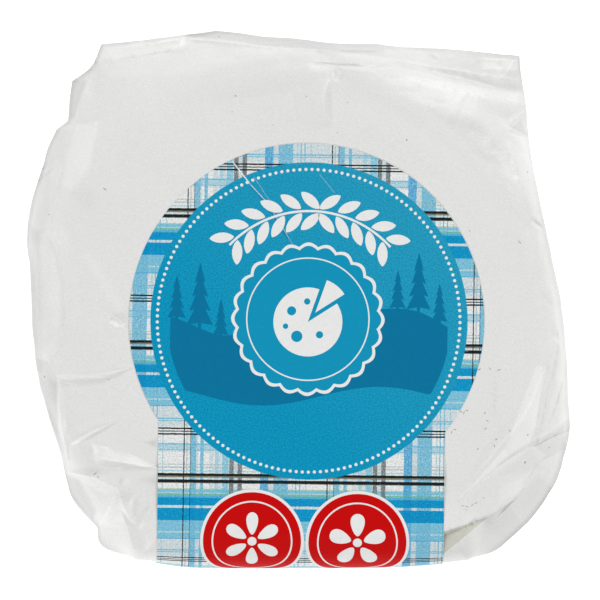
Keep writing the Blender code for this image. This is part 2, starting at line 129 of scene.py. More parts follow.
# Folds seen from above. A fold is a tent along its line: width on the left and right of its
# direction in mm, then points x, y and height in mm. Heights below zero are valleys and steps.
packFolds = {
    "leftRidge": (6.0, 2.8, [(-49.3, 38.5, 1.6), (-51.3, 33.0, 1.8), (-51.9, 28.8, 1.8), (-53.2, 24.4, 1.0),
        (-54.0, 19.3, 0.6), (-54.5, 16.5, 0.9), (-52.4, 11.6, 0.8), (-51.3, 3.6, 0.6), (-51.4, -5.3, 0.6),
        (-54.9, -12.2, 0.8), (-54.3, -15.1, 0.8), (-53.6, -17.2, 0.4)]),
    "shoulder": (5.0, 0.5, [(-56.3, 28.9, -0.6), (-53.2, 31.4, -0.8), (-50.7, 33.3, -0.2)]),
    "wallCrease": (0.5, 0.5, [(-57.9, 25.7, -0.1), (-55.1, 27.9, -0.25), (-52.4, 29.8, -0.1)]),
    "cornerStep": (5.5, 0.5, [(-44.9, 51.9, 0.1), (-46.6, 48.3, 0.3), (-48.2, 43.3, 1.0),
        (-49.3, 38.6, 1.6)]),
    "cornerFoot": (1.0, 1.4, [(-49.3, 38.9, -0.15), (-46.6, 39.0, -0.22), (-43.8, 39.7, -0.05)]),
    "cornerTip": (1.0, 1.0, [(-49.3, 48.7, 0.3), (-46.5, 48.5, 0.4)]),
    "flapCrease": (0.8, 1.2, [(-44.7, 52.1, -0.15), (-37.0, 53.3, -0.28), (-30.4, 54.3, -0.28),
        (-28.2, 54.6, -0.15)]),
    "flapRim": (0.8, 0.8, [(-42.0, 55.2, 0.2), (-34.8, 56.3, 0.4), (-26.4, 57.2, 0.3)]),
    "flapCurl": (1.5, 0.7, [(-25.1, 58.0, 0.3), (-26.0, 56.0, 0.8), (-28.2, 54.7, 0.3)]),
    "backRoll": (1.0, 1.2, [(-25.1, 57.5, 0.1), (-15.0, 56.6, 0.35), (-1.8, 55.3, 0.4), (7.0, 54.8, 0.3),
        (19.0, 55.0, 0.1)]),
    "backCrest": (5.0, 4.5, [(-40.0, 43.0, 0), (-32.6, 45.4, 0.3), (-21.6, 48.1, 0.6), (-11.4, 50.0, 0.8),
        (-7.9, 51.4, 0.9), (2.6, 51.7, 0.8), (7.0, 51.5, 0.1)]),
    "crescent": (1.4, 6.0, [(6.8, 48.6, 0), (5.9, 46.5, 0.6), (5.5, 44.0, 0.9), (5.7, 41.4, 0.9),
        (6.6, 39.5, 0.5), (7.6, 38.2, 0)]),
    "crescentDent": (5.0, 1.2, [(8.3, 48.0, 0), (7.6, 45.0, -0.2), (7.6, 41.5, -0.2), (8.8, 39.0, 0)]),
    "backSpot": (1.3, 1.3, [(8.0, 50.2, -0.1), (8.9, 49.2, -0.6)]),
    "backLens": (0.6, 0.6, [(2.6, 52.5, -0.1), (8.4, 51.7, -0.35), (15.8, 50.9, -0.3), (20.0, 51.5, -0.1)]),
    "flapEdge": (4.0, 1.8, [(22.0, 52.6, 0.1), (26.2, 51.6, 0.4), (33.9, 50.5, 0.7), (41.1, 49.4, 0.8),
        (48.6, 48.2, 0.8)]),
    "backRight": (2.4, 7.0, [(9.0, 50.9, 0.1), (13.6, 50.1, 0.6), (27.3, 48.5, 0.9), (35.6, 45.9, 1.0),
        (48.6, 43.4, 1.0)]),
    "backRightLow": (4.0, 8.0, [(13.6, 47.4, 0.1), (24.6, 45.5, 0.4), (31.7, 43.3, 0.6), (41.1, 40.0, 0.7),
        (45.8, 37.1, 0.6)]),
    "backNick": (0.8, 0.8, [(28.8, 54.9, 0.3), (30.5, 53.4, 0.3), (32.6, 52.2, 0)]),
    "earRidge": (3.0, 1.0, [(46.1, 38.4, 0.3), (47.6, 39.8, 0.9), (49.6, 41.5, 0.9)]),
    "earFoot": (1.5, 0.6, [(46.1, 38.2, -0.2), (48.2, 37.2, -0.4), (50.4, 36.1, -0.3)]),
    "rightRidge": (3.0, 5.0, [(45.8, 36.9, 0.4), (46.6, 32.9, 0.9), (48.8, 26.3, 0.9), (50.2, 20.8, 0.7),
        (51.5, 15.9, 0.2)]),
    "rightNotch": (1.0, 1.0, [(51.0, 18.0, -0.2), (52.0, 16.9, -0.6), (53.4, 16.0, -0.2)]),
    "rightFaint": (1.8, 1.8, [(51.6, 14.8, 0.2), (50.8, 9.3, 0.4), (49.0, 3.6, 0.4), (46.3, -2.0, 0.3),
        (42.8, -6.3, 0)]),
    "clearTop": (0.6, 0.6, [(40.6, 53.0, 0.3), (47.6, 52.6, 0.35)]),
    "clearLeft": (0.6, 0.6, [(40.6, 53.0, 0.3), (39.8, 50.6, 0.3)]),
    "clearGlint": (0.9, 0.7, [(41.0, 51.6, 0.2), (44.0, 50.9, 0.6), (47.2, 50.8, 0.2)]),
    "dimple": (0.8, 0.9, [(-42.2, -3.0, 0), (-40.9, -4.4, -0.5), (-39.4, -5.3, -0.5), (-37.9, -5.8, -0.2)]),
    "leftCrease": (1.6, 1.2, [(-53.2, -17.4, 0.5), (-48.9, -17.5, 0.8), (-43.0, -17.2, 0.8),
        (-39.7, -16.0, 0.6), (-36.7, -15.0, 0.2)]),
    "leftVertical": (1.2, 0.8, [(-52.6, -17.7, 0.4), (-52.4, -24.3, 0.7), (-51.8, -30.9, 0.7),
        (-50.7, -35.3, 0.2)]),
    "leftDash": (1.1, 0.8, [(-50.4, -32.0, 0.2), (-48.2, -31.0, 0.8), (-44.1, -28.8, 0.8),
        (-39.4, -26.5, 0.1)]),
    "facetValley": (3.0, 0.8, [(-45.5, -31.5, 0), (-40.0, -33.2, -0.2), (-36.4, -34.0, -0.3),
        (-31.5, -36.4, -0.3)]),
    "facet": (2.6, 1.6, [(-45.5, -31.7, 0.1), (-44.6, -34.2, 0.7), (-43.6, -35.0, 1.1), (-38.0, -35.9, 0.9),
        (-31.5, -37.2, 0.2)]),
    "starLeft": (2.2, 2.5, [(-51.0, -38.0, 0.3), (-50.0, -38.1, 0.6), (-44.7, -39.4, 1.0),
        (-39.7, -41.9, 1.3)]),
    "starDown": (3.5, 2.0, [(-39.7, -41.9, 1.3), (-41.4, -45.8, 1.1), (-43.9, -50.2, 0.7)]),
    "starRight": (1.8, 1.8, [(-39.7, -41.9, 0.8), (-38.6, -45.8, 0.7), (-35.9, -49.6, 0.4)]),
    "starFoot": (2.0, 2.0, [(-39.4, -46.3, 0.2), (-37.6, -51.0, 0.8), (-36.4, -55.1, 0.5)]),
    "stripFold": (1.4, 1.4, [(-33.7, -41.7, 0.1), (-34.8, -44.5, 0.5), (-35.4, -47.2, 0.2)]),
    "stripFoldLow": (1.5, 1.5, [(-31.5, -44.1, 0.1), (-33.4, -47.4, 0.6), (-35.3, -50.7, 0.3)]),
    "diagRidge": (4.0, 3.2, [(54.9, -14.0, 0.1), (51.6, -22.1, 0.9), (49.4, -26.3, 1.4), (45.0, -31.5, 1.2),
        (40.0, -37.5, 0.7), (35.6, -44.1, 0.1)]),
    "diagValley": (1.5, 1.0, [(54.9, -14.4, -0.1), (53.0, -23.2, -0.4), (52.1, -29.8, -0.6),
        (51.4, -32.0, -0.6), (44.4, -36.4, -0.5), (41.1, -39.2, -0.3), (36.0, -43.6, -0.1)]),
    "innerFaint": (1.6, 1.6, [(48.5, -8.6, 0.1), (46.0, -13.8, 0.3), (44.8, -18.8, 0.4), (44.8, -25.0, 0.4),
        (46.6, -28.7, 0.1)]),
    "fanLong": (0.7, 1.2, [(57.2, -9.8, -0.1), (55.9, -16.6, -0.5), (54.3, -23.2, -0.5),
        (53.0, -30.5, -0.1)]),
    "fanShort": (0.7, 1.2, [(58.1, -18.4, -0.1), (57.0, -22.6, -0.5), (55.2, -27.6, -0.1)]),
    "fanLow": (1.6, 0.8, [(53.0, -31.1, 0.3), (56.1, -28.7, 0.9), (59.2, -26.2, 0.8)]),
    "flapShadow": (1.0, 1.2, [(51.4, -32.5, -0.3), (55.0, -30.9, -0.8), (59.2, -28.9, -0.8)]),
    "flapGap": (5.0, 0.4, [(57.1, -34.0, -0.3), (54.3, -34.8, -0.6), (52.1, -37.0, -0.8),
        (48.8, -43.2, -0.8), (42.2, -48.0, -0.8), (37.3, -49.9, -0.9), (32.3, -51.8, -1.0)]),
    "rightDent": (1.5, 1.5, [(52.8, 0.2, -0.2), (54.6, -0.1, -0.6), (56.1, 1.4, -0.2)]),
    "rightDentLow": (1.3, 1.3, [(54.6, -9.6, -0.1), (56.1, -7.8, -0.5), (55.9, -5.4, -0.1)]),
}

# Folds without a crease, with the radius of their crest in mm
softFolds = {"backCrest": 2.2, "backRightLow": 1.2, "rightFaint": 1.5, "innerFaint": 1.2, "crescent": 0.6,
             "crescentDent": 0.8, "rightDent": 0.6, "rightDentLow": 0.6}
# Folds whose crest gets no painted highlight
plainFolds = {"leftRidge", "cornerStep", "backRight", "flapEdge", "shoulder", "rightRidge", "cornerTip"}
foldGain = 1.3

# Where the top turns down to the back wall, x and y in mm; the film beyond it is a single layer, darkened
# further with painted shade
backBand = [(-25.1, 57.8), (-15.0, 56.6), (-1.8, 55.2), (7.0, 54.4), (19.0, 53.0), (33.9, 50.8),
            (48.6, 48.2)]

# Painted shade on the film as a share of the look's paintedShade; below zero it is lighter
filmShade = {
    "band": 0.85,                           # painted shade beyond backBand, partly the darker single layer
    "bandLess": 0.58,                       # so much less of it at the right
    "bandLessFrom": 5.0 * mm,
    "bandLessOver": 20.0 * mm,
    "bandSoft": 0.8 * mm,
    "clear": -0.15,                         # clear patch in the back right corner
    "clearBox": (40.3, 50.4, 48.9, 53.4),   # its left, low, right and high side in mm
    "clearSoft": 0.5 * mm,
    "flap": -0.32,                          # doubled strip along the back at the left
    "flapFoot": (-44.7 * mm, 52.0 * mm),
    "flapSlope": 0.155,
    "flapSoft": 0.6 * mm,
    "edge": 0.80,                           # painted shade: the film darkens towards the outline
    "edgeWidth": 1.3 * mm,
    "edgeLess": 0.7,                        # so much less of it at the back right corner
    "edgeLessFrom": 82.0 * mm,
    "edgeLessOver": 8.0 * mm,
}

# Pleats down the loose sides, with depth and width in mm, and folds that run in on the underside
sidePleats = {
    "count": 34,
    "scatter": 0.35,                        # share of the spacing by which a pleat is off its place
    "depth": (0.35, 1.1),
    "width": (2.5, 6.5),
    "step": 0.5 * mm,                       # width of a pleat's steep side
    "lean": 0.55,
    "leanFrom": 12.0 * mm,                  # height at which a leaning pleat is at its place
    "underCount": 30,
    "underDepth": 0.45 * mm,
    "underSwirl": 40.0 * mm,                # distance over which a fold lags behind by its own width
    "underFrom": 6.0 * mm,
    "underFadeIn": 10.0 * mm,
    "underFadeOut": 4.0 * mm,
}


def smoothStep(value):
    value = np.clip(value, 0.0, 1.0)
    return value * value * (3.0 - 2.0 * value)


def frontAxes():
    turn = packForm["frontTurn"]
    return np.array((math.cos(turn), math.sin(turn))), np.array((-math.sin(turn), math.cos(turn)))


def swellFront(points):
    # moves film and paper alike, most at the wall and not at all on the flat top
    along, inward = frontAxes()
    spots, swell = (np.array(values) * mm for values in zip(*frontSwell))
    across, depth = points[:, :2] @ along, points[:, :2] @ inward
    out = np.mean([np.interp(across + shift * mm, spots, swell) for shift in range(-3, 4)], axis=0)
    share = smoothStep((-depth - packForm["swellFrom"]) / packForm["swellOver"])
    share *= smoothStep((packForm["filmTop"] - points[:, 2]) / packForm["topBend"])
    moved = points.copy()
    moved[:, :2] -= (out * share)[:, None] * inward
    return moved


def edgeColumns(spacing):
    # outline points with the front wall's ends set in, then a curve that keeps the sharp ones
    along, inward = frontAxes()
    size = packForm["outlineSpread"] * mm
    points = [(np.array((x, y)) * size, height * mm, sharp) for x, y, height, sharp in packOutline]
    ends = [along * side * packForm["frontHalf"] - inward * packForm["frontDepth"] for side in (1, -1)]
    wall = [(end, packForm["frontEdgeHeight"], True) for end in ends]
    points = points[:frontAfter + 1] + wall + points[frontAfter + 1:]
    edges, heights = [], []
    for i in range(len(points)):
        before, start, end, after = (points[(i + k) % len(points)] for k in (-1, 0, 1, 2))
        first = 2 * start[0] - end[0] if start[2] else before[0]
        last = 2 * end[0] - start[0] if end[2] else after[0]
        steps = max(1, round(float(np.linalg.norm(end[0] - start[0])) / spacing))
        curve = interpolate_bezier(Vector(start[0]), Vector(start[0] + (end[0] - first) / 6),
                                   Vector(end[0] - (last - start[0]) / 6), Vector(end[0]), steps + 1)
        edges += [tuple(point)[:2] for point in curve[:steps]]
        heights += [start[1] + (end[1] - start[1]) * step / steps for step in range(steps)]
    return np.array(edges), np.array(heights)


def bezierRows(controls, steps):
    t = np.linspace(0.0, 1.0, steps + 1)[None, :, None]
    a, b, c, d = (control[:, None, :] for control in controls)
    return a * (1 - t) ** 3 + 3 * b * t * (1 - t) ** 2 + 3 * c * t ** 2 * (1 - t) + d * t ** 3


def wallSection(upper, lower):
    # depth in from the wall and height, evenly spaced down to the outline and on to the base
    f = packForm
    arc = math.pi / 2 * f["topBend"]
    run = f["filmTop"] - f["topBend"] - f["frontEdgeHeight"]
    travel = np.linspace(0.0, arc + run, upper + 1)
    angle = np.minimum(travel, arc) / f["topBend"]
    depth = f["topBend"] * (1 - np.sin(angle))
    height = f["filmTop"] - f["topBend"] * (1 - np.cos(angle)) - np.maximum(travel - arc, 0.0)
    lowArc = math.pi / 2 * f["lowBend"]
    lowRun = f["frontEdgeHeight"] - f["recessHeight"] - f["lowBend"]
    lowTravel = np.linspace(0.0, lowRun + lowArc, lower + 1)[1:]
    lowAngle = np.maximum(lowTravel - lowRun, 0.0) / f["lowBend"]
    lowDepth = f["lowBend"] * (1 - np.cos(lowAngle))
    lowHeight = f["frontEdgeHeight"] - np.minimum(lowTravel, lowRun) - f["lowBend"] * np.sin(lowAngle)
    return np.concatenate((depth, lowDepth)), np.concatenate((height, lowHeight))


def evened(values, columns):
    # the same values with their corners taken off, going round the pack
    spread = np.arange(-3 * columns, 3 * columns + 1)
    weights = np.exp(-0.5 * (spread / columns) ** 2)
    return sum(weight * np.roll(values, shift) for weight, shift in zip(weights, spread)) / weights.sum()


def roundedSections(reach, edgeHeight, baseHeight, upper, lower):
    # corners of the outline show near it alone, not as rays up to the rim
    columns = filmMesh["cornerColumns"]
    true = sideSections(reach, edgeHeight, baseHeight, upper, lower)
    soft = sideSections(evened(reach, columns), evened(edgeHeight, columns), baseHeight, upper, lower)
    rows = np.concatenate((np.linspace(0.0, 1.0, upper + 1), np.linspace(1.0, 0.0, lower + 1)[1:]))
    share = smoothStep((rows - filmMesh["cornerFrom"]) / (1.0 - filmMesh["cornerFrom"]))[None, :, None]
    return soft + (true - soft) * share


def sideSections(reach, edgeHeight, baseHeight, upper, lower):
    f = packForm
    loose = smoothStep((reach - f["wheelRadius"] - f["looseFrom"]) / f["looseOver"])
    rimHeight = np.full_like(reach, f["filmTop"] - f["rimSlump"])
    rim = np.full_like(reach, f["rimStart"])
    base = np.full_like(reach, f["baseRadius"])
    width, drop = reach - rim, rimHeight - edgeHeight
    over = bezierRows((
        np.stack((rim, rimHeight), 1),
        np.stack((rim + (0.75 - 0.5 * loose) * width, rimHeight - 0.06 * loose * drop), 1),
        np.stack((reach - 0.3 * loose * width, edgeHeight + (0.7 - 0.3 * loose) * drop), 1),
        np.stack((reach, edgeHeight), 1)), upper)
    under = bezierRows((
        np.stack((reach, edgeHeight), 1),
        np.stack((reach - 0.5 * loose * width, edgeHeight * 0.4), 1),
        np.stack((base + 0.4 * (reach - base), baseHeight), 1),
        np.stack((base, baseHeight), 1)), lower)
    return np.concatenate((over, under[:, 1:]), 1)


def nearestOnFold(places, line, reach):
    # which places lie near a fold's line, how far off, the fold's height there, its side and its point
    low, high = line[:, :2].min(0) - reach, line[:, :2].max(0) + reach
    near = np.nonzero(((places > low) & (places < high)).all(1))[0]
    spots = places[near]
    nearest = np.full(len(near), 1.0)
    lift, side = np.zeros(len(near)), np.zeros(len(near))
    foot = np.zeros((len(near), 2))
    for start, end in zip(line, line[1:]):
        run = (end - start)[:2]
        share = np.clip((spots - start[:2]) @ run / (run @ run), 0.0, 1.0)
        offset = spots - start[:2] - share[:, None] * run
        distance = np.hypot(offset[:, 0], offset[:, 1])
        closer = distance < nearest
        nearest = np.where(closer, distance, nearest)
        lift = np.where(closer, start[2] + share * (end[2] - start[2]), lift)
        side = np.where(closer, run[0] * offset[:, 1] - run[1] * offset[:, 0], side)
        foot = np.where(closer[:, None], spots - offset, foot)
    return near, nearest, lift, side, foot


def snapToFolds(places, movable):
    # puts the mesh's points that lie almost on a fold right on it, so that the crease is sharp
    places = places.copy()
    owner = np.full(len(places), -1)
    crestHighlight = np.zeros(len(places))
    for index, (name, (_, _, points)) in enumerate(packFolds.items()):
        if name in softFolds:
            continue
        near, nearest, lift, _, foot = nearestOnFold(places, np.array(points) * mm, filmMesh["snap"])
        chosen = (nearest < filmMesh["snap"]) & movable[near] & (owner[near] < 0)
        places[near[chosen]] = foot[chosen]
        owner[near[chosen]] = index
        # the crest of every other ridge gets a painted highlight, partly the creased film's own whiteness,
        # growing with its height
        if name not in plainFolds:
            crestHighlight[near[chosen]] = np.clip(lift[chosen] / filmMesh["fullCrease"], 0.0, 1.0)
    return places, owner, crestHighlight


def foldHeights(places):
    # ridges and valleys, each with two even slopes; where ridges meet the higher one shows
    ridges, valleys = np.zeros(len(places)), np.zeros(len(places))
    for name, (left, right, points) in packFolds.items():
        round_ = softFolds.get(name, 0.0) * mm
        line = np.array(points) * mm
        near, nearest, lift, side, _ = nearestOnFold(places, line, max(left, right) * mm)
        slope = np.abs(line[:, 2]).max() / (np.where(side > 0, left, right) * mm)
        away = np.hypot(nearest, round_) - round_
        height = np.sign(lift) * np.clip(np.abs(lift) - slope * away, 0.0, None)
        ridges[near] = np.maximum(ridges[near], height)
        valleys[near] = np.minimum(valleys[near], height)
    return (ridges + valleys) * foldGain


def topWaves(places):
    # long soft waves that film and paper share, gone before the front edge bends
    inward = frontAxes()[1]
    length = filmMesh["topWaveLength"]
    waves = np.array([noise.noise(Vector((x / length, y / length, 0.37))) for x, y in places])
    fromBend = places @ inward + packForm["frontDepth"] - packForm["topBend"]
    return filmMesh["topWave"] * waves * smoothStep(fromBend / filmMesh["waveFrontFade"])


def crumpleHeights(points, length):
    # difference of two squared cell distances: flat facets that meet in sharp creases, as in film
    shift = Vector((17.3, 5.1, 9.7))
    heights = np.empty(len(points))
    for i, point in enumerate(points):
        spot = Vector(point) / length
        near = noise.voronoi(spot, distance_metric="DISTANCE_SQUARED")[0][0]
        other = noise.voronoi(spot + shift, distance_metric="DISTANCE_SQUARED")[0][0]
        heights[i] = near - other
    return heights


labelForm = {
    "gap": 0.03 * mm,                       # glue
    "thickness": 0.18 * mm,
    "turn": math.radians(-0.7),             # print against X
    "centre": (1.87 * mm, -4.73 * mm),
    "radius": 39.1 * mm,
    "stripLeft": -32.3 * mm,
    "stripRight": 30.75 * mm,
    "stripUnder": 18.0 * mm,
    "grid": 1.1 * mm,
    "uvSpan": 140.0 * mm,                   # the label's UV square, with the head's centre at uvHead
    "uvHead": (0.5, 0.714),
    "corner": 1.5 * mm,
    "inkSunk": 0.06 * mm,                   # printed shapes reach so far into the paper
}


def insideLabel(places, margin):
    # 1 under the paper, 0 outside, over a soft edge of margin
    form = labelForm
    turn = form["turn"]
    offset = places - np.array(form["centre"])
    right = offset[:, 0] * math.cos(turn) + offset[:, 1] * math.sin(turn)
    up = -offset[:, 0] * math.sin(turn) + offset[:, 1] * math.cos(turn)
    head = form["radius"] - np.hypot(right, up)
    strip = np.minimum(np.minimum(right - form["stripLeft"], form["stripRight"] - right), -up)
    return smoothStep(np.maximum(head, strip) / margin + 1.0)


def pleatOffsets(points, arc, edgeShare):
    # overlapping pleats: a sharp step on one side and a long slope on the other
    s = sidePleats
    rng = np.random.default_rng(filmMesh["seed"])
    total = np.zeros(len(points))
    perimeter = arc.max()
    for i in range(s["count"]):
        place = perimeter * (i + rng.uniform(-s["scatter"], s["scatter"])) / s["count"]
        lean = rng.uniform(-1, 1) * s["lean"]
        depth = rng.uniform(*s["depth"]) * mm
        width = rng.uniform(*s["width"]) * mm
        side = rng.choice((-1, 1))
        offset = arc - place - lean * (points[:, 2] - s["leanFrom"])
        offset = side * ((offset + perimeter / 2) % perimeter - perimeter / 2)
        slope = np.where(offset > 0, 1 - offset / width, 1 + offset / s["step"])
        total += depth * np.clip(slope, 0.0, None)
    return total * edgeShare


def meshFrom(name, points, faces):
    mesh = bpy.data.meshes.new(name)
    mesh.from_pydata([tuple(point) for point in points], [], faces)
    mesh.validate()
    return mesh


def addObject(name, data):
    thing = bpy.data.objects.new(name, data)
    bpy.context.scene.collection.objects.link(thing)
    return thing


def placePiece(name, mesh, material, replaced=None):
    piece = addObject(name, mesh)
    if material and not mesh.materials:
        mesh.materials.append(material)
    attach(piece, "root")
    if replaced:
        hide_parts(replaced)
    return piece


def shadeOn(x, y, edge):
    # painted shade beyond the back band and at the outline, lighter clear patch and doubled flap; edge is 1
    # on the outline and 0 away from it
    s = filmShade
    bandX, bandY = (np.array(values) * mm for values in zip(*backBand))
    band = smoothStep((y - np.interp(x, bandX, bandY)) / s["bandSoft"]) * (x > bandX[0])
    band *= s["band"] - s["bandLess"] * smoothStep((x - s["bandLessFrom"]) / s["bandLessOver"])
    flapX, flapY = s["flapFoot"]
    flap = smoothStep((y - flapY - (x - flapX) * s["flapSlope"]) / s["flapSoft"]) * (x < bandX[0])
    left, low, right, high = (side * mm for side in s["clearBox"])
    clear = smoothStep(np.minimum.reduce((x - left, right - x, y - low, high - y)) / s["clearSoft"])
    atCorner = smoothStep((x + y - s["edgeLessFrom"]) / s["edgeLessOver"])
    shade = band * (1 - clear) + s["clear"] * clear + s["flap"] * flap
    return shade + s["edge"] * edge * (1 - s["edgeLess"] * atCorner)


def buildFilm():
    f, m = packForm, filmMesh
    edges, edgeHeights = edgeColumns(m["columnSpacing"])
    centre = np.array(f["wheelCentre"])
    along, inward = frontAxes()
    rays = edges - centre
    reach = np.linalg.norm(rays, axis=1)
    rays /= reach[:, None]
    towards = -(rays @ inward)
    inFront = edges @ inward < -f["frontDepth"] / 2
    past = (np.abs(edges @ along) - f["frontHalf"]) / f["frontBlend"]
    wall = np.where(inFront, 1.0 - smoothStep(past), 0.0)
    angle = np.arccos(np.clip(towards, -1.0, 1.0))
    baseHeight = f["recessHeight"] * (1.0 - smoothStep((angle - f["recessAngle"]) / f["recessFade"]))
    depths, heights = wallSection(m["upperRings"], m["lowerRings"])
    side = roundedSections(reach, edgeHeights, baseHeight, m["upperRings"], m["lowerRings"])
    slant = np.maximum(0.5, np.abs(rays @ inward))
    distance = (reach[:, None] - depths[None, :] / slant[:, None]) * wall[:, None]
    distance += side[:, :, 0] * (1 - wall[:, None])
    height = heights[None, :] * wall[:, None] + side[:, :, 1] * (1 - wall[:, None])

    shares = np.concatenate((np.linspace(m["innerShare"], m["bareShare"], m["innerRings"], endpoint=False),
                             np.linspace(m["bareShare"], 1.0, m["outerRings"], endpoint=False)))
    fall = smoothStep((shares - f["flatShare"]) / (1 - f["flatShare"]))
    topDistance = distance[:, :1] * shares[None, :]
    topHeight = f["filmTop"] + (height[:, :1] - f["filmTop"]) * fall[None, :]

    ring = f["baseRadius"] - f["baseRing"]
    frontRun = f["frontDepth"] + centre @ inward - f["recessDepth"]
    recess = np.where(towards > 0, np.minimum(ring, frontRun / np.maximum(towards, 1e-6)), ring)
    recessRings = m["underRings"] // 3
    steps = np.linspace(0.0, 1.0, recessRings + 1)[1:]
    underDistance = distance[:, -1:] + (recess[:, None] - distance[:, -1:]) * steps[None, :]
    underHeight = np.repeat(baseHeight[:, None], recessRings, 1)
    fromOutline = (reach[:, None] - distance) / filmShade["edgeWidth"]
    innerShares = np.linspace(1.0, m["middleShare"], m["underRings"] - recessRings)
    innerDistance = (recess - f["recessStep"])[:, None] * innerShares[None, :]
    innerHeight = np.zeros_like(innerDistance)

    distance = np.concatenate((topDistance, distance, underDistance, innerDistance), 1)
    height = np.concatenate((topHeight, height, underHeight, innerHeight), 1)
    columns, rings = distance.shape
    flat = (centre + rays[:, None, :] * distance[:, :, None]).reshape(-1, 2)
    ringIndex = np.tile(np.arange(rings), columns)
    bare = (ringIndex >= m["innerRings"]) & (ringIndex < len(shares) + m["upperRings"])
    flat, owner, crestHighlight = snapToFolds(flat, bare & (insideLabel(flat, 0.1 * mm) == 0.0))
    points = np.concatenate((flat, height.reshape(-1, 1)), 1)

    # normals of the smooth form, along which crumples and pleats move the film
    grid = points.reshape(columns, rings, 3)
    across = np.roll(grid, -1, 0) - np.roll(grid, 1, 0)
    down = np.gradient(grid, axis=1)
    normals = np.cross(down, across).reshape(-1, 3)
    normals /= np.maximum(np.linalg.norm(normals, axis=1), 1e-12)[:, None]
    normals *= np.sign((normals * (points - np.array((*centre, f["filmTop"] / 2)))).sum(1))[:, None]

    topRings = len(shares)
    edgeRing = topRings + m["upperRings"]
    baseRing = edgeRing + m["lowerRings"]
    wallHere = np.repeat(wall, rings)
    covered = insideLabel(points[:, :2], 1.0 * mm)
    upper = ringIndex <= edgeRing
    folds = foldHeights(points[:, :2])
    # painted shade that darkens the film towards its outline
    edgeShade = np.zeros((columns, rings))
    edgeShade[:, topRings:topRings + fromOutline.shape[1]] = 1.0 - smoothStep(fromOutline)
    # painted shade at the back band and the outline, with the lighter clear patch and flap
    shade = shadeOn(points[:, 0], points[:, 1], edgeShade.ravel() * (1 - wallHere))
    folds = np.where(folds > 0, folds * (1 - covered), folds)
    belowFade = np.clip((baseRing - ringIndex) / m["lowerRings"], 0.0, 1.0)
    folds *= np.where(upper, 1.0, belowFade * (1 - wallHere))
    waves = np.zeros(len(points))
    toFlat = topRings + m["waveFade"] - ringIndex
    onTop = toFlat >= 0
    waves[onTop] = topWaves(points[onTop][:, :2]) * np.clip(toFlat[onTop] / m["waveFade"], 0, 1)
    edgeLength = np.linalg.norm(np.roll(edges, -1, 0) - edges, axis=1)
    arc = np.repeat(np.concatenate(((0.0,), np.cumsum(edgeLength)[:-1])), rings)
    pleated, slack = (
        smoothStep((ringIndex - topRings - start) / grow) * smoothStep((baseRing + end - ringIndex) / wane)
        * (1 - wallHere) for start, grow, end, wane in (m["pleatSpan"], m["slackSpan"]))
    start, grow = m["pleatGrowth"]
    pleats = pleatOffsets(points, arc, pleated * smoothStep((ringIndex - edgeRing - start) / grow))
    crumple = crumpleHeights(points, m["crumpleLength"]) * m["crumple"] * (1 - covered)
    crumple *= m["tightCrumple"] + (1 - m["tightCrumple"]) * slack
    crumple *= np.where(ringIndex > baseRing, 0.0, 1.0)
    points = points + normals * (crumple - pleats)[:, None]
    points[:, 2] += folds + waves

    # underside: folds run in to the middle, pressed flat against the table
    s = sidePleats
    under = ringIndex > baseRing + recessRings
    away = points[:, :2] - centre
    spread = np.hypot(away[:, 0], away[:, 1])
    swirl = np.arctan2(away[:, 1], away[:, 0]) * s["underCount"] / math.tau + spread / s["underSwirl"]
    fade = smoothStep((spread - s["underFrom"]) / s["underFadeIn"])
    fade *= smoothStep((recess.max() - spread) / s["underFadeOut"])
    points[:, 2] += np.where(under, s["underDepth"] * (swirl % 1.0) ** 2 * fade, 0.0)
    points[:, 2] = np.maximum(points[:, 2], 0.0)

    top = np.array((*centre, f["filmTop"] + topWaves(np.array([centre]))[0]))
    bottom = np.array((*centre, 0.0))
    points = np.concatenate((points, top[None], bottom[None]))
    topPoint, bottomPoint = len(points) - 2, len(points) - 1
    faces = []
    for i in range(columns):
        here, there = i * rings, (i + 1) % columns * rings
        faces.append((topPoint, there, here))
        faces.append((bottomPoint, here + rings - 1, there + rings - 1))
        for r in range(rings - 1):
            a, b, c, d = here + r, there + r, there + r + 1, here + r + 1
            if owner[a] >= 0 and owner[a] == owner[c]:
                faces += [(a, b, c), (a, c, d)]
            elif owner[b] >= 0 and owner[b] == owner[d]:
                faces += [(a, b, d), (b, c, d)]
            else:
                faces.append((a, b, c, d))
    mesh = meshFrom("filmWrap", swellFront(points), faces)
    mesh.shade_smooth()
    owner = np.concatenate((owner, (-1, -1)))
    ends = np.empty(len(mesh.edges) * 2, np.int32)
    mesh.edges.foreach_get("vertices", ends)
    first, last = owner[ends[0::2]], owner[ends[1::2]]
    sharp = (first == last) & (first >= 0)
    mesh.attributes.new("sharp_edge", "BOOLEAN", "EDGE").data.foreach_set("value", sharp)
    looseness = smoothStep((spread - f["rimStart"]) / m["looseOver"]) * (1 - wallHere * m["wallTight"])
    # gap carries the film's painted shade, with its lighter clear patch and flap
    for name, values in (("looseness", looseness), ("slack", slack), ("crestHighlight", crestHighlight), ("gap", shade)):
        values = np.concatenate((values, (0.0, 0.0))).astype(np.float32)
        mesh.attributes.new(name, "FLOAT", "POINT").data.foreach_set("value", values)
    fixOutside(mesh)
    print("film wrap:", len(mesh.polygons), "faces")
    return mesh


def fixOutside(mesh):
    shape = bmesh.new()
    shape.from_mesh(mesh)
    bmesh.ops.recalc_face_normals(shape, faces=shape.faces)
    shape.to_mesh(mesh)
    shape.free()


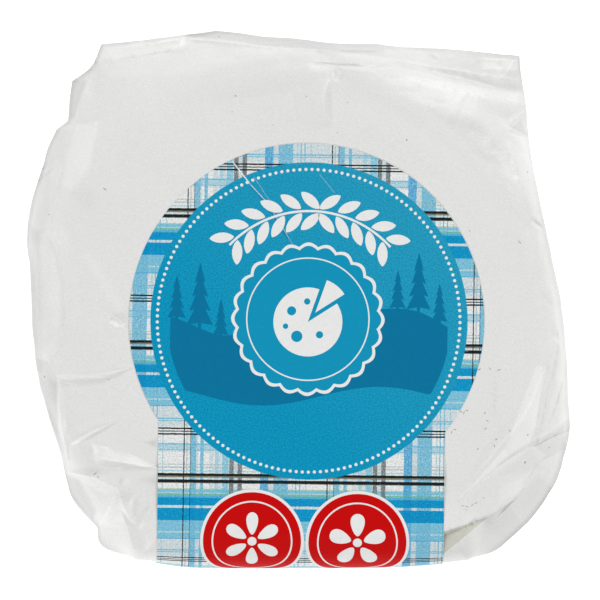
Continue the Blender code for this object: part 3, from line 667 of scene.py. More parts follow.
def printPlaces(points):
    # points lie in the label's flat print: right and up from the head's centre, and lift off the paper
    form, f = labelForm, packForm
    along, inward = frontAxes()
    turn = form["turn"] - f["frontTurn"]
    wall = -f["frontDepth"] - form["gap"]
    centre = np.array(form["centre"])
    right, up, lift = points.T
    across = centre @ along + right * math.cos(turn) - up * math.sin(turn)
    depth = centre @ inward - wall + right * math.sin(turn) + up * math.cos(turn)
    bend, low = f["topBend"] + form["gap"], f["lowBend"] + form["gap"]
    topHeight, underHeight = f["filmTop"] + form["gap"], f["recessHeight"] - form["gap"]
    upperArc, lowerArc = math.pi / 2 * bend, math.pi / 2 * low
    run = topHeight - bend - underHeight - low
    travel = bend - depth
    angle = np.clip(travel / bend, 0.0, math.pi / 2)
    lowAngle = np.clip((travel - upperArc - run) / low, 0.0, math.pi / 2)
    fall = np.clip(travel - upperArc, 0.0, run)
    beyond = np.maximum(travel - upperArc - run - lowerArc, 0.0)
    place = wall + np.maximum(depth - bend, 0.0) + bend * (1 - np.sin(angle))
    place += low * (1 - np.cos(lowAngle)) + beyond
    height = topHeight - bend * (1 - np.cos(angle)) - fall - low * np.sin(lowAngle)
    outIn = -np.sin(angle) + np.where(lowAngle > 0, 1 - np.cos(lowAngle), 0.0)
    outUp = np.cos(angle) - np.where(lowAngle > 0, np.sin(lowAngle), 0.0)
    place = place + outIn * lift
    height = height + outUp * lift
    flat = across[:, None] * along + place[:, None] * inward
    height = height + np.where(travel < 0, topWaves(flat), 0.0)
    return swellFront(np.concatenate((flat, height[:, None]), 1))


def cutGrid(shape, step):
    # cuts a flat shape along a square grid, so that it can follow the pack
    xs = [vert.co.x for vert in shape.verts]
    ys = [vert.co.y for vert in shape.verts]
    for axis, values in ((Vector((1, 0, 0)), xs), (Vector((0, 1, 0)), ys)):
        place = math.ceil(min(values) / step) * step
        while place < max(values):
            bmesh.ops.bisect_plane(shape, geom=shape.verts[:] + shape.edges[:] + shape.faces[:],
                                   dist=1e-7, plane_co=axis * place, plane_no=axis)
            place += step


def wrapMesh(mesh):
    points = np.empty(len(mesh.vertices) * 3)
    mesh.vertices.foreach_get("co", points)
    mesh.vertices.foreach_set("co", printPlaces(points.reshape(-1, 3)).ravel())
    mesh.update()


def bakeModifiers(piece, name):
    # evaluated mesh under its own name; the object that made it goes
    graph = bpy.context.evaluated_depsgraph_get()
    mesh = bpy.data.meshes.new_from_object(piece.evaluated_get(graph), depsgraph=graph)
    mesh.name = name
    bpy.data.objects.remove(piece, do_unlink=True)
    return mesh


def arcPoints(centre, radius, start, sweep, steps):
    turns = [start + sweep * i / steps for i in range(steps + 1)]
    return [(centre[0] + radius * math.cos(a), centre[1] + radius * math.sin(a)) for a in turns]


def buildLabel():
    form, f = labelForm, packForm
    radius, left, right = form["radius"], form["stripLeft"], form["stripRight"]
    start = math.atan2(-math.sqrt(radius ** 2 - right ** 2), right)
    end = math.atan2(-math.sqrt(radius ** 2 - left ** 2), left) + math.tau
    bend, low = f["topBend"] + form["gap"], f["lowBend"] + form["gap"]
    run = f["filmTop"] + 2 * form["gap"] - bend - f["recessHeight"] - low
    corner, quarter = form["corner"], math.pi / 2
    strip = form["centre"][1] + f["frontDepth"] - bend + quarter * (bend + low) + run + form["stripUnder"]
    outline = arcPoints((0.0, 0.0), radius, start, end - start, 220)
    outline += arcPoints((left + corner, corner - strip), corner, 2 * quarter, quarter, 5)
    outline += arcPoints((right - corner, corner - strip), corner, 3 * quarter, quarter, 5)
    shape = bmesh.new()
    shape.faces.new([shape.verts.new((x, y, 0.0)) for x, y in outline])
    cutGrid(shape, form["grid"])
    layer = shape.loops.layers.uv.new("print")
    span, head = form["uvSpan"], form["uvHead"]
    for face in shape.faces:
        for loop in face.loops:
            loop[layer].uv = (loop.vert.co.x / span + head[0], loop.vert.co.y / span + head[1])
    mesh = bpy.data.meshes.new("labelSheet")
    shape.to_mesh(mesh)
    shape.free()
    wrapMesh(mesh)
    mesh.shade_smooth()
    mesh.materials.append(materials["printedPaper"])
    mesh.materials.append(materials["paperEdge"])
    sheet = addObject("labelSheet", mesh)
    paper = sheet.modifiers.new("paper", "SOLIDIFY")
    paper.thickness = form["thickness"]
    paper.offset = 1.0
    paper.material_offset_rim = 1
    finished = bakeModifiers(sheet, "labelPaper")
    finished.set_sharp_from_angle(angle=math.radians(50.0))
    print("label:", len(finished.polygons), "faces")
    return finished


# Nodes
def addNode(tree, kind, inputs=(), **settings):
    node = tree.nodes.new(kind)
    for name, value in settings.items():
        setattr(node, name, value)
    for key, value in dict(inputs).items():
        if isinstance(value, bpy.types.NodeSocket):
            tree.links.new(value, node.inputs[key])
        else:
            node.inputs[key].default_value = value
    return node


def mathNode(tree, operation, a, b=0.0, c=0.0):
    return addNode(tree, "ShaderNodeMath", {0: a, 1: b, 2: c}, operation=operation).outputs[0]


def mixColours(tree, factor, a, b, blend="MIX"):
    node = addNode(tree, "ShaderNodeMix", {0: factor, 6: a, 7: b}, data_type="RGBA", blend_type=blend)
    return node.outputs[2]


def multiplied(tree, a, b):
    return mixColours(tree, 1.0, a, b, "MULTIPLY")


def aroundHalf(tree, value, share, base=0.0):
    # base, with a share of how far the value is off a half
    return mathNode(tree, "MULTIPLY_ADD", mathNode(tree, "SUBTRACT", value, 0.5), share, base)


def vectorNode(tree, operation, a, b, output="Vector"):
    return addNode(tree, "ShaderNodeVectorMath", {0: a, 1: b}, operation=operation).outputs[output]


def noiseNode(tree, place, scale, detail):
    inputs = {"Vector": place, "Scale": scale, "Detail": detail}
    return addNode(tree, "ShaderNodeTexNoise", inputs).outputs[0]


def bumpFrom(tree, shader, height):
    bump = addNode(tree, "ShaderNodeBump", {"Height": height, "Distance": 1.0})
    tree.links.new(bump.outputs[0], shader.inputs["Normal"])


def smoothBetween(tree, value, low, high):
    inputs = {"Value": value, "From Min": low, "From Max": high, "To Min": 0.0, "To Max": 1.0}
    return addNode(tree, "ShaderNodeMapRange", inputs, interpolation_type="SMOOTHSTEP").outputs[0]


def newMaterial(name, slots):
    material = bpy.data.materials.new(name)
    material.use_nodes = True
    shader = material.node_tree.nodes["Principled BSDF"]
    for key, value in slots.items():
        shader.inputs[key].default_value = value
    return material, material.node_tree, shader


def newGroup(name, inputs, outputs, kind="ShaderNodeTree"):
    group = bpy.data.node_groups.new(name, kind)
    for label, kind, value in inputs:
        socket = group.interface.new_socket(label, in_out="INPUT", socket_type=kind)
        if value is not None:
            socket.default_value = value
    for label, kind in outputs:
        group.interface.new_socket(label, in_out="OUTPUT", socket_type=kind)
    return group, group.nodes.new("NodeGroupInput").outputs, group.nodes.new("NodeGroupOutput").inputs


def groupNode(tree, group, place, **inputs):
    inputs["Vector"] = place
    return addNode(tree, "ShaderNodeGroup", inputs, node_tree=groups[group]).outputs[0]


def crumpleGroup():
    # flat facets with sharp creases, at any scale: the difference of two squared cell distances
    group, given, result = newGroup("crumpleFacets", [
        ("Vector", "NodeSocketVector", None), ("Scale", "NodeSocketFloat", 100.0)],
        [("Height", "NodeSocketFloat")])
    squares = []
    for place in (given[0], vectorNode(group, "ADD", given[0], (0.31, 0.17, 0.23))):
        cells = addNode(group, "ShaderNodeTexVoronoi", {"Vector": place, "Scale": given[1]})
        squares.append(mathNode(group, "POWER", cells.outputs["Distance"], 2.0))
    group.links.new(mathNode(group, "SUBTRACT", *squares), result[0])
    return group


def mottleGroup():
    # uneven tone from 1 - Amount to 1, for ink, paper and film
    group, given, result = newGroup("toneMottle", [
        ("Vector", "NodeSocketVector", None), ("Scale", "NodeSocketFloat", 40.0),
        ("Amount", "NodeSocketFloat", 0.06)], [("Tone", "NodeSocketFloat")])
    drop = mathNode(group, "MULTIPLY", noiseNode(group, given[0], given[1], 4.0), given[2])
    group.links.new(mathNode(group, "SUBTRACT", 1.0, drop), result[0])
    return group


def insideOutline(tree, place, outline, softness=0.12):
    # 1 inside a shape without hollows, seen from above; points in mm, against the clock
    inside = None
    for (x, y), (nextX, nextY) in zip(outline, outline[1:] + outline[:1]):
        length = math.hypot(nextX - x, nextY - y)
        across = ((y - nextY) / length, (nextX - x) / length)
        distance = vectorNode(tree, "DOT_PRODUCT", place, (*across, 0.0), "Value")
        edge = mathNode(tree, "SUBTRACT", distance, (across[0] * x + across[1] * y) * mm)
        inside = edge if inside is None else mathNode(tree, "MINIMUM", inside, edge)
    return smoothBetween(tree, inside, -softness / 2 * mm, softness * mm)


filmLook = {
    "tight": (0.74, 0.74, 0.727, 1.0),      # stretched over the white rind
    "loose": (0.765, 0.77, 0.757, 1.0),     # doubled and crumpled, brighter
    "speck": (0.30, 0.29, 0.26, 1.0),
    "roughness": 0.42,
    "coat": 0.22,
    "coatRoughness": 0.36,
    "crestHighlightTone": 0.08,                     # ridge crests whiten by this share: a painted highlight, partly the creased film's own whiteness
    "paintedShade": 0.25,
    "inside": (0.74, 0.74, 0.66, 1.0),      # single layer between two flaps, darkened with painted shade in the gap
    "shadedGaps": [[(31.0, -51.4), (31.0, -56.9), (41.93, -47.94)],
             [(43.76, -48.05), (45.54, -46.64), (48.53, -43.45), (45.76, -45.54)]],
    # where painted highlights and painted shade lie on the film's facets, in places also whiter doubled
    # film:
    # share, softness in mm and outline, none of them on the underside
    "patchesAbove": 8.0 * mm,
    "lightAndShadePatches": [
        (0.12, 0.35, [(35.1, -44.1), (42.2, -38.6), (46.6, -34.2), (45.5, -32.6)]),
        (0.08, 0.4, [(46.6, -34.2), (51.0, -31.5), (52.4, -28.7), (53.5, -21.0), (54.1, -14.5),
                     (52.4, -14.5), (45.5, -32.6)]),
        (0.08, 0.3, [(-45.8, -31.5), (-43.6, -35.0), (-30.9, -37.2), (-37.0, -33.7), (-42.5, -32.3)]),
        (0.09, 0.3, [(-50.8, -31.9), (-49.4, -32.0), (-44.0, -29.2), (-39.7, -26.5), (-44.6, -28.3)]),
        (0.08, 0.3, [(-54.1, -16.6), (-52.4, -17.4), (-45.2, -17.2), (-45.2, -16.3), (-52.0, -16.3)]),
        (0.08, 0.3, [(-45.2, -17.2), (-37.0, -15.5), (-37.0, -15.0), (-45.2, -16.3)]),
        (0.05, 0.5, [(-39.7, -42.3), (-43.8, -49.8), (-35.9, -50.7)]),
        (0.07, 0.5, [(20.8, 49.9), (27.3, 47.0), (48.4, 42.6), (48.8, 45.5)]),
        (-0.10, 0.4, [(46.1, 37.0), (50.5, 35.6), (49.4, 40.0)]),
        (-0.03, 0.8, [(46.1, 36.9), (48.0, 27.4), (50.6, 18.6), (54.3, 18.6), (51.0, 29.6)]),
        (-0.09, 0.5, [(-49.9, 48.5), (-50.7, 39.3), (-49.3, 40.0), (-46.3, 48.3)]),
        (-0.08, 0.8, [(-53.2, 37.5), (-56.8, 27.4), (-51.8, 30.7), (-49.9, 37.8)]),
        (0.05, 0.8, [(-49.1, 38.4), (-52.4, 25.2), (-50.2, 23.5), (-45.8, 29.0), (-43.6, 39.5)]),
        (0.05, 0.6, [(44.4, -41.4), (44.4, -45.2), (49.4, -41.9), (50.0, -38.6)]),
        (-0.08, 0.5, [(51.3, -31.5), (54.8, -34.8), (59.2, -33.1), (58.7, -27.6)]),
        (-0.12, 0.5, [(-59.0, -12.5), (-55.7, -24.5), (-52.6, -32.0), (-53.0, -17.7), (-55.0, -13.5)]),
        (-0.09, 0.8, [(31.4, -59.5), (40.5, -57.8), (50.5, -50.5), (46.6, -44.6), (37.8, -51.0),
                      (31.4, -56.5)]),
        (-0.06, 0.8, [(50.5, -50.5), (56.8, -42.0), (53.0, -38.5), (46.6, -44.6)]),
        (-0.05, 0.8, [(-58.5, 27.0), (-60.5, 13.0), (-56.5, 12.0), (-54.6, 18.2), (-51.6, 31.0)]),
        (-0.08, 0.6, [(-60.5, 18.0), (-60.5, -16.0), (-56.2, -16.0), (-56.8, 15.0)]),
        (0.04, 0.7, [(-56.4, 15.0), (-56.0, -13.0), (-53.2, -12.0), (-51.1, -1.0), (-51.1, 5.0),
                     (-53.2, 15.5)]),
        (-0.03, 1.5, [(-50.5, 24.0), (-47.0, 19.0), (-43.5, 20.5), (-45.0, 24.5)]),
        (0.035, 1.2, [(-48.0, 9.5), (-39.5, -3.5), (-37.5, -1.5), (-45.5, 10.5)]),
        (0.1, 0.4, [(-41.6, -3.9), (-39.9, -6.0), (-37.8, -6.2), (-37.8, -5.5)]),
        (-0.08, 0.8, [(-41.4, -3.6), (-38.0, -5.2), (-37.6, -2.8), (-39.8, -2.6)]),
        (-0.20, 1.0, [(-34.0, -31.4), (-31.0, -32.9), (-31.0, -30.6)]),
        (-0.12, 1.2, [(-35.0, -39.6), (-31.0, -41.3), (-31.0, -38.6)]),
        (-0.07, 2.0, [(31.0, 40.5), (40.5, 31.5), (47.0, 28.5), (46.6, 33.5), (38.5, 41.5)]),
        (-0.06, 2.0, [(22.4, 47.2), (23.5, 43.9), (42.2, 29.6), (48.8, 27.4), (47.7, 30.7), (37.8, 41.7),
                      (29.0, 48.3)]),
        (0.035, 1.5, [(-45.8, 52.3), (-41.4, 48.3), (-21.6, 49.4), (-12.8, 52.7), (-19.4, 56.0),
                      (-32.6, 54.5)]),
        (0.04, 0.8, [(41.5, 42.8), (48.8, 41.5), (48.6, 43.8), (42.0, 44.8)]),
        (-0.04, 0.8, [(43.5, -38.8), (49.8, -38.4), (54.3, -37.5), (51.2, -32.2)]),
        (-0.16, 0.7, [(-53.4, -37.5), (-50.2, -44.2), (-45.2, -48.6), (-44.2, -46.6), (-48.2, -39.5)])],
    "grain": 0.2,
    "specks": {"scale": 95.0, "most": 0.05, "least": 0.012, "share": 0.5},
    "bumps": [(150.0, 0.16 * mm), (420.0, 0.05 * mm)],  # scale and height of the crumples
    "tightBump": 0.2,                       # share of the bumps that tight film keeps
}


def makeFilmMaterial():
    look = filmLook
    material, tree, shader = newMaterial("satinFilm", {
        "Roughness": look["roughness"], "Coat Weight": look["coat"],
        "Coat Roughness": look["coatRoughness"], "Specular IOR Level": 0.35})
    place = addNode(tree, "ShaderNodeTexCoord").outputs["Object"]
    loose, slack, crestHighlight, gap = (addNode(tree, "ShaderNodeAttribute", attribute_name=name).outputs["Fac"]
                                 for name in ("looseness", "slack", "crestHighlight", "gap"))
    base = mixColours(tree, loose, look["tight"], look["loose"])
    tone = groupNode(tree, "mottle", place, Scale=45.0, Amount=0.05)
    # painted highlight on ridge crests, partly the creased film's own whiteness
    tone = mathNode(tree, "MULTIPLY_ADD", crestHighlight, look["crestHighlightTone"], tone)
    tone = aroundHalf(tree, noiseNode(tree, place, 2800.0, 1.0), look["grain"], tone)
    # painted shade from the gap attribute, lighter where it is below zero
    tone = mathNode(tree, "MULTIPLY_ADD", gap, -look["paintedShade"], tone)
    height = addNode(tree, "ShaderNodeSeparateXYZ", {0: place}).outputs[2]
    upper = mathNode(tree, "GREATER_THAN", height, look["patchesAbove"])
    # painted highlights and painted shade on the film's facets
    for share, softness, outline in look["lightAndShadePatches"]:
        patch = mathNode(tree, "MULTIPLY", insideOutline(tree, place, outline, softness), upper)
        tone = mathNode(tree, "MULTIPLY_ADD", patch, share, tone)
    shaded = multiplied(tree, base, tone)
    # painted shade in the gaps between flaps
    for outline in look["shadedGaps"]:
        inside = mathNode(tree, "MULTIPLY", insideOutline(tree, place, outline), upper)
        shaded = mixColours(tree, inside, shaded, multiplied(tree, shaded, look["inside"]))
    s = look["specks"]
    dots = addNode(tree, "ShaderNodeTexVoronoi", {"Vector": place, "Scale": s["scale"]})
    size = addNode(tree, "ShaderNodeSeparateColor", {"Color": dots.outputs["Color"]}).outputs[0]
    size = mathNode(tree, "MULTIPLY", size, s["most"])
    speck = mathNode(tree, "LESS_THAN", mathNode(tree, "ADD", dots.outputs["Distance"], s["least"]), size)
    speck = mathNode(tree, "MULTIPLY", speck, s["share"])
    tree.links.new(mixColours(tree, speck, shaded, look["speck"]), shader.inputs["Base Color"])
    amount = mathNode(tree, "MULTIPLY_ADD", slack, 1.0 - look["tightBump"], look["tightBump"])
    height = 0.0
    for scale, bump in look["bumps"]:
        height = mathNode(tree, "MULTIPLY_ADD", groupNode(tree, "crumple", place, Scale=scale), bump, height)
    bumpFrom(tree, shader, mathNode(tree, "MULTIPLY", height, amount))
    return material


# Woven plaid: stripes as start and end in mm along one repeat, and the thread's colour
plaid = {
    "black": (0.012, 0.02, 0.025),
    "grey": (0.26, 0.30, 0.31),
    "strong": (0.004, 0.37, 0.72),
    "mid": (0.13, 0.54, 0.86),
    "light": (0.27, 0.66, 0.87),
    "sky": (0.36, 0.74, 0.92),
    "pale": (0.56, 0.81, 0.91),
    "green": (0.24, 0.62, 0.50),
    "cream": (0.62, 0.76, 0.58),
    "brown": (0.30, 0.28, 0.20),
    "haze": (0.80, 0.88, 0.92),
    "faint": (0.66, 0.72, 0.75),
    "ground": (0.745, 0.765, 0.755),
    "weftRepeat": 29.15,
    "weftStart": -33.8,                     # up, in the print, of the first stripe's top
    "warpRepeat": 31.6,
    "warpStart": -26.6,                     # right, in the print, of the first stripe
    "warpLean": 0.004,
    "wobble": 0.16,
    "overlap": 0.25,                        # share of the warp that darkens where threads cross
    "weftStripes": [
        (0.0, 0.55, "black"), (0.55, 0.8, "brown"), (0.8, 1.27, "haze"), (1.27, 1.94, "black"),
        (1.94, 2.15, "brown"), (3.2, 3.52, "cream"), (3.52, 4.1, "light"), (4.1, 4.4, "pale"),
        (4.4, 4.8, "green"), (4.8, 5.35, "mid"), (5.35, 7.0, "strong"), (7.0, 7.6, "haze"),
        (7.6, 10.35, "strong"), (10.35, 12.75, "light"), (12.75, 13.0, "pale"), (13.0, 14.15, "light"),
        (14.15, 14.4, "mid"), (14.4, 16.95, "haze"), (16.95, 17.2, "light"), (17.2, 17.45, "haze"),
        (17.45, 17.7, "light"), (17.7, 18.9, "haze"), (19.1, 19.38, "black"), (19.72, 20.0, "black"),
        (20.38, 20.66, "black"), (22.5, 22.85, "light"), (22.85, 23.85, "pale"), (23.85, 24.1, "light"),
        (24.1, 24.4, "haze"), (27.0, 27.25, "faint"), (27.65, 27.9, "faint"), (28.4, 28.7, "pale")],
    "warpStripes": [
        (0.0, 0.24, "black"), (0.6, 0.84, "faint"), (1.36, 1.6, "black"), (1.6, 2.75, "light"),
        (2.75, 3.2, "haze"), (3.6, 4.4, "light"), (5.6, 6.6, "haze"), (6.8, 7.7, "pale"),
        (7.7, 8.3, "haze"), (8.4, 9.9, "sky"), (10.1, 11.05, "grey"), (11.05, 11.9, "haze"),
        (11.9, 12.85, "grey"), (16.9, 18.75, "mid"), (18.75, 19.8, "haze"), (19.8, 23.0, "light"),
        (23.9, 24.14, "pale"), (24.6, 24.84, "light"), (25.5, 25.74, "light"), (26.9, 27.14, "pale")],
    "rampHolds": 14,                        # stripes one colour ramp can take
    # how threads cover the ground: stretch across and up, cover, change by thread and in spots
    "weftThread": ((1.0, 3.6, 1.0), 1.22, 1.1, 0.8),
    "warpThread": ((3.6, 1.0, 1.0), 0.95, 1.0, 1.3),
}

printLook = {
    "discCentre": (0.55, 0.0),
    "discRadius": 34.9,
    "disc": (0.0015, 0.280, 0.487),
    # paler blue of the disc's painted sheen
    "discSheen": (0.018, 0.314, 0.490),
    # start and end, half width, share and tint
    "cracks": [
        (((-16.8, 35.0), (-12.8, 30.0)), 0.2, 1.0, "crackWhite"),
        (((-12.8, 30.0), (-8.8, 25.8)), 0.13, 0.7, "crackWhite"),
        (((-8.8, 25.7), (-3.9, 17.9)), 0.11, 0.45, "crackWhite"),
        (((-13.0, 29.6), (-9.0, 25.5)), 0.14, 0.4, "crackDark"),
        (((-9.1, 25.5), (-4.2, 17.8)), 0.16, 0.6, "crackDark"),
        (((-12.0, 31.6), (-5.3, 21.8)), 0.1, 0.3, "crackWhite"),
        (((2.4, 32.4), (5.9, 28.2)), 0.1, 0.28, "crackWhite"),
        (((-3.9, 17.9), (-1.4, 13.4)), 0.1, 0.3, "crackWhite")],
    "crackWhite": (0.80, 0.83, 0.84),
    "crackDark": (0.01, 0.11, 0.19),
    "roughness": 0.45,
    "specular": 0.07,
}


def stripeColour(tree, fraction, repeat, stripes):
    # one constant ramp for every few stripes, multiplied together; between stripes the thread is white
    colour = None
    for first in range(0, len(stripes), plaid["rampHolds"]):
        ramp = addNode(tree, "ShaderNodeValToRGB", {"Fac": fraction})
        ramp.color_ramp.interpolation = "CONSTANT"
        ramp.color_ramp.elements.remove(ramp.color_ramp.elements[1])
        ramp.color_ramp.elements[0].color = (1, 1, 1, 1)
        chosen = stripes[first:first + plaid["rampHolds"]]
        for i, (start, end, name) in enumerate(chosen):
            if start == 0.0:
                ramp.color_ramp.elements[0].color = (*plaid[name], 1)
            else:
                ramp.color_ramp.elements.new(start / repeat).color = (*plaid[name], 1)
            if i + 1 == len(chosen) or chosen[i + 1][0] > end:
                ramp.color_ramp.elements.new(end / repeat).color = (1, 1, 1, 1)
        out = ramp.outputs["Color"]
        colour = out if colour is None else multiplied(tree, colour, out)
    return colour


def threadShare(tree, place, grain, thread):
    # share of ink from thread to thread, between 0 and 1
    stretch, cover, change, spots = thread
    streak = noiseNode(tree, vectorNode(tree, "MULTIPLY", place, stretch), 1.0, 1.0)
    share = aroundHalf(tree, grain, spots, aroundHalf(tree, streak, change, cover))
    return mathNode(tree, "MAXIMUM", mathNode(tree, "MINIMUM", share, 1.0), 0.0)


def crackLine(tree, place, start, end, width):
    # 1 on a line between two points of the print
    run = Vector(end) - Vector(start)
    length = run.length
    run.normalize()
    offset = vectorNode(tree, "SUBTRACT", place, (*start, 0.0))
    along = vectorNode(tree, "DOT_PRODUCT", offset, (*run, 0.0), "Value")
    across = vectorNode(tree, "DOT_PRODUCT", offset, (-run.y, run.x, 0.0), "Value")
    near = smoothBetween(tree, mathNode(tree, "ABSOLUTE", across), width, width * 0.4)
    middle = mathNode(tree, "ABSOLUTE", mathNode(tree, "SUBTRACT", along, length / 2))
    return mathNode(tree, "MULTIPLY", near, smoothBetween(tree, middle, length / 2 + 0.1, length / 2 - 0.3))


def makePaperMaterial():
    look = printLook
    material, tree, shader = newMaterial("printedPaper", {
        "Roughness": look["roughness"], "Specular IOR Level": look["specular"]})
    uv = addNode(tree, "ShaderNodeUVMap", uv_map="print").outputs[0]
    scale = labelForm["uvSpan"] / mm
    place = vectorNode(tree, "SUBTRACT", uv, (*labelForm["uvHead"], 0.0))
    place = vectorNode(tree, "MULTIPLY", place, (scale, scale, scale))
    right, up, _ = addNode(tree, "ShaderNodeSeparateXYZ", {0: place}).outputs

    # plaid
    p = plaid
    wobble = aroundHalf(tree, noiseNode(tree, place, 0.9, 2.0), p["wobble"])
    weft = mathNode(tree, "SUBTRACT", p["weftStart"], mathNode(tree, "ADD", up, wobble))
    warp = mathNode(tree, "SUBTRACT", mathNode(tree, "ADD", right, wobble), p["warpStart"])
    warp = mathNode(tree, "MULTIPLY_ADD", up, -p["warpLean"], warp)
    grain = noiseNode(tree, place, 3.3, 1.0)
    white = (1.0, 1.0, 1.0, 1.0)
    inks = []
    for travel, name in ((weft, "weft"), (warp, "warp")):
        fraction = mathNode(tree, "FRACT", mathNode(tree, "DIVIDE", travel, p[name + "Repeat"]))
        thread = stripeColour(tree, fraction, p[name + "Repeat"], p[name + "Stripes"])
        inks.append(mixColours(tree, threadShare(tree, place, grain, p[name + "Thread"]), white, thread))
    woven = mixColours(tree, 1.0, *inks, "DARKEN")
    woven = mixColours(tree, p["overlap"], woven, inks[1], "MULTIPLY")
    woven = multiplied(tree, (*p["ground"], 1.0), woven)

    # blue disc over the plaid, paler towards the upper right as a painted sheen
    fromDisc = vectorNode(tree, "DISTANCE", place, (*look["discCentre"], 0.0), "Value")
    disc = smoothBetween(tree, fromDisc, look["discRadius"] + 0.05, look["discRadius"] - 0.05)
    shift = mathNode(tree, "ADD", mathNode(tree, "MULTIPLY", mathNode(tree, "ADD", right, up), 0.012), 0.3)
    blue = mixColours(tree, shift, (*look["disc"], 1.0), (*look["discSheen"], 1.0))
    colour = mixColours(tree, disc, woven, blue)

    # fine cracks where the paper was creased: white where the ink broke, dark in the fold's shade
    crack = 0.0
    broken = mathNode(tree, "MULTIPLY_ADD", grain, 1.2, 0.35)
    for line, width, share, tint in look["cracks"]:
        mask = crackLine(tree, place, *line, width)
        mask = mathNode(tree, "MULTIPLY", mathNode(tree, "MULTIPLY", mask, broken), share)
        mask = mathNode(tree, "MINIMUM", mask, 1.0)
        colour = mixColours(tree, mask, colour, (*look[tint], 1.0))
        crack = mathNode(tree, "ADD", crack, mask)

    tone = groupNode(tree, "mottle", place, Scale=1.4, Amount=0.09)
    dither = mathNode(tree, "MULTIPLY_ADD", noiseNode(tree, place, 3.0, 0.0), 0.7, 0.65)
    colour = multiplied(tree, colour, mathNode(tree, "MULTIPLY", tone, dither))
    tree.links.new(colour, shader.inputs["Base Color"])
    height = mathNode(tree, "MULTIPLY", groupNode(tree, "crumple", place, Scale=0.22), 0.05 * mm)
    height = mathNode(tree, "MULTIPLY_ADD", crack, 0.08 * mm, height)
    bumpFrom(tree, shader, mathNode(tree, "MULTIPLY_ADD", grain, 0.012 * mm, height))
    return material


inkLook = {
    "roughness": 0.5,
    "inks": {
        "paperEdge": (0.80, 0.81, 0.80),
        "inkWhite": (0.80, 0.81, 0.80),
        "inkDeepBlue": (0.001, 0.17, 0.335),
        "inkDiscBlue": (0.004, 0.285, 0.48),
        "inkRed": (0.56, 0.0008, 0.001),
        "speck": (0.27, 0.26, 0.20),
    },
}


def makeInk(name, colour):
    material, tree, shader = newMaterial(name, {
        "Roughness": inkLook["roughness"], "Specular IOR Level": printLook["specular"]})
    place = addNode(tree, "ShaderNodeTexCoord").outputs["Object"]
    tone = groupNode(tree, "mottle", place, Scale=1300.0, Amount=0.12)
    tree.links.new(multiplied(tree, (*colour, 1.0), tone), shader.inputs["Base Color"])
    bumpFrom(tree, shader, mathNode(tree, "MULTIPLY", noiseNode(tree, place, 2600.0, 2.0), 0.01 * mm))
    return material


# Printed shapes: thin ink bodies, made flat in the print and then wrapped over the pack
def printedPiece(name, outlines, lift, material):
    # outlines in mm in the print, each a list of points or a pair of outer and inner ring
    shape = bmesh.new()
    for outline in outlines:
        if isinstance(outline, tuple):
            outer, inner = [[shape.verts.new((x * mm, y * mm, 0)) for x, y in ring] for ring in outline]
            for i in range(len(outer)):
                k = (i + 1) % len(outer)
                shape.faces.new((outer[i], outer[k], inner[k], inner[i]))
        else:
            shape.faces.new([shape.verts.new((x * mm, y * mm, 0)) for x, y in outline])
    shape.normal_update()
    for face in shape.faces:
        if face.normal.z < 0:
            face.normal_flip()
    bmesh.ops.triangulate(shape, faces=[face for face in shape.faces if len(face.verts) > 4])
    cutGrid(shape, labelForm["grid"])
    thick = bmesh.ops.extrude_face_region(shape, geom=shape.faces[:])
    for vert in [item for item in thick["geom"] if isinstance(item, bmesh.types.BMVert)]:
        vert.co.z = labelForm["thickness"] + lift
    for vert in shape.verts:
        if vert.co.z == 0.0:
            vert.co.z = labelForm["thickness"] - labelForm["inkSunk"]
    bmesh.ops.recalc_face_normals(shape, faces=shape.faces)
    mesh = bpy.data.meshes.new(name)
    shape.to_mesh(mesh)
    shape.free()
    wrapMesh(mesh)
    return placePiece(name, mesh, material)


def circlePoints(centre, radius, count, wave=0.0, lobes=0):
    points = []
    for i in range(count):
        a = math.tau * i / count
        r = radius + wave * abs(math.cos(lobes * a / 2))
        points.append((centre[0] + r * math.cos(a), centre[1] + r * math.sin(a)))
    return points


# Repeats in the print: a tree of nodes makes them flat, and they are wrapped over the pack as one mesh
def printTree(name, inputs):
    kinds = {"m": ("NodeSocketFloat", 0.001), "n": ("NodeSocketInt", 8), "i": ("NodeSocketMaterial", None)}
    sockets = [("Geometry", "NodeSocketGeometry", None)]
    sockets += [(label, *kinds[kind]) for label, kind in [*inputs, ("Thickness", "m"), ("Ink", "i")]]
    return newGroup(name, sockets, [("Geometry", "NodeSocketGeometry")], "GeometryNodeTree")


def inkInstances(tree, given, result, instances):
    real = addNode(tree, "GeometryNodeRealizeInstances", {0: instances})
    inked = addNode(tree, "GeometryNodeSetMaterial", {"Geometry": real.outputs[0], "Material": given["Ink"]})
    tree.links.new(inked.outputs[0], result[0])


def layPrint(name, tree, values, centre, lift):
    # runs a tree on an empty mesh; the thickness goes from inside the paper up to the lift
    form = labelForm
    values = {**values, "Thickness": form["inkSunk"] + lift, "Ink": materials["inkWhite"]}
    carrier = addObject(name + "Carrier", bpy.data.meshes.new(name + "Carrier"))
    modifier = carrier.modifiers.new(name, "NODES")
    modifier.node_group = tree
    for item in tree.interface.items_tree:
        if item.in_out == "INPUT" and item.name in values:
            modifier[item.identifier] = values[item.name]
    mesh = bakeModifiers(carrier, name)
    low = min(vert.co.z for vert in mesh.vertices)
    for vert in mesh.vertices:
        vert.co += Vector((centre[0] * mm, centre[1] * mm, form["thickness"] - form["inkSunk"] - low))
    wrapMesh(mesh)
    placePiece(name, mesh, None)


dotRing = {
    "centre": (0.47, 0.06),
    "radius": 33.3,
    "count": 157,
    "dot": 0.36,
    "lift": 0.012 * mm,
}


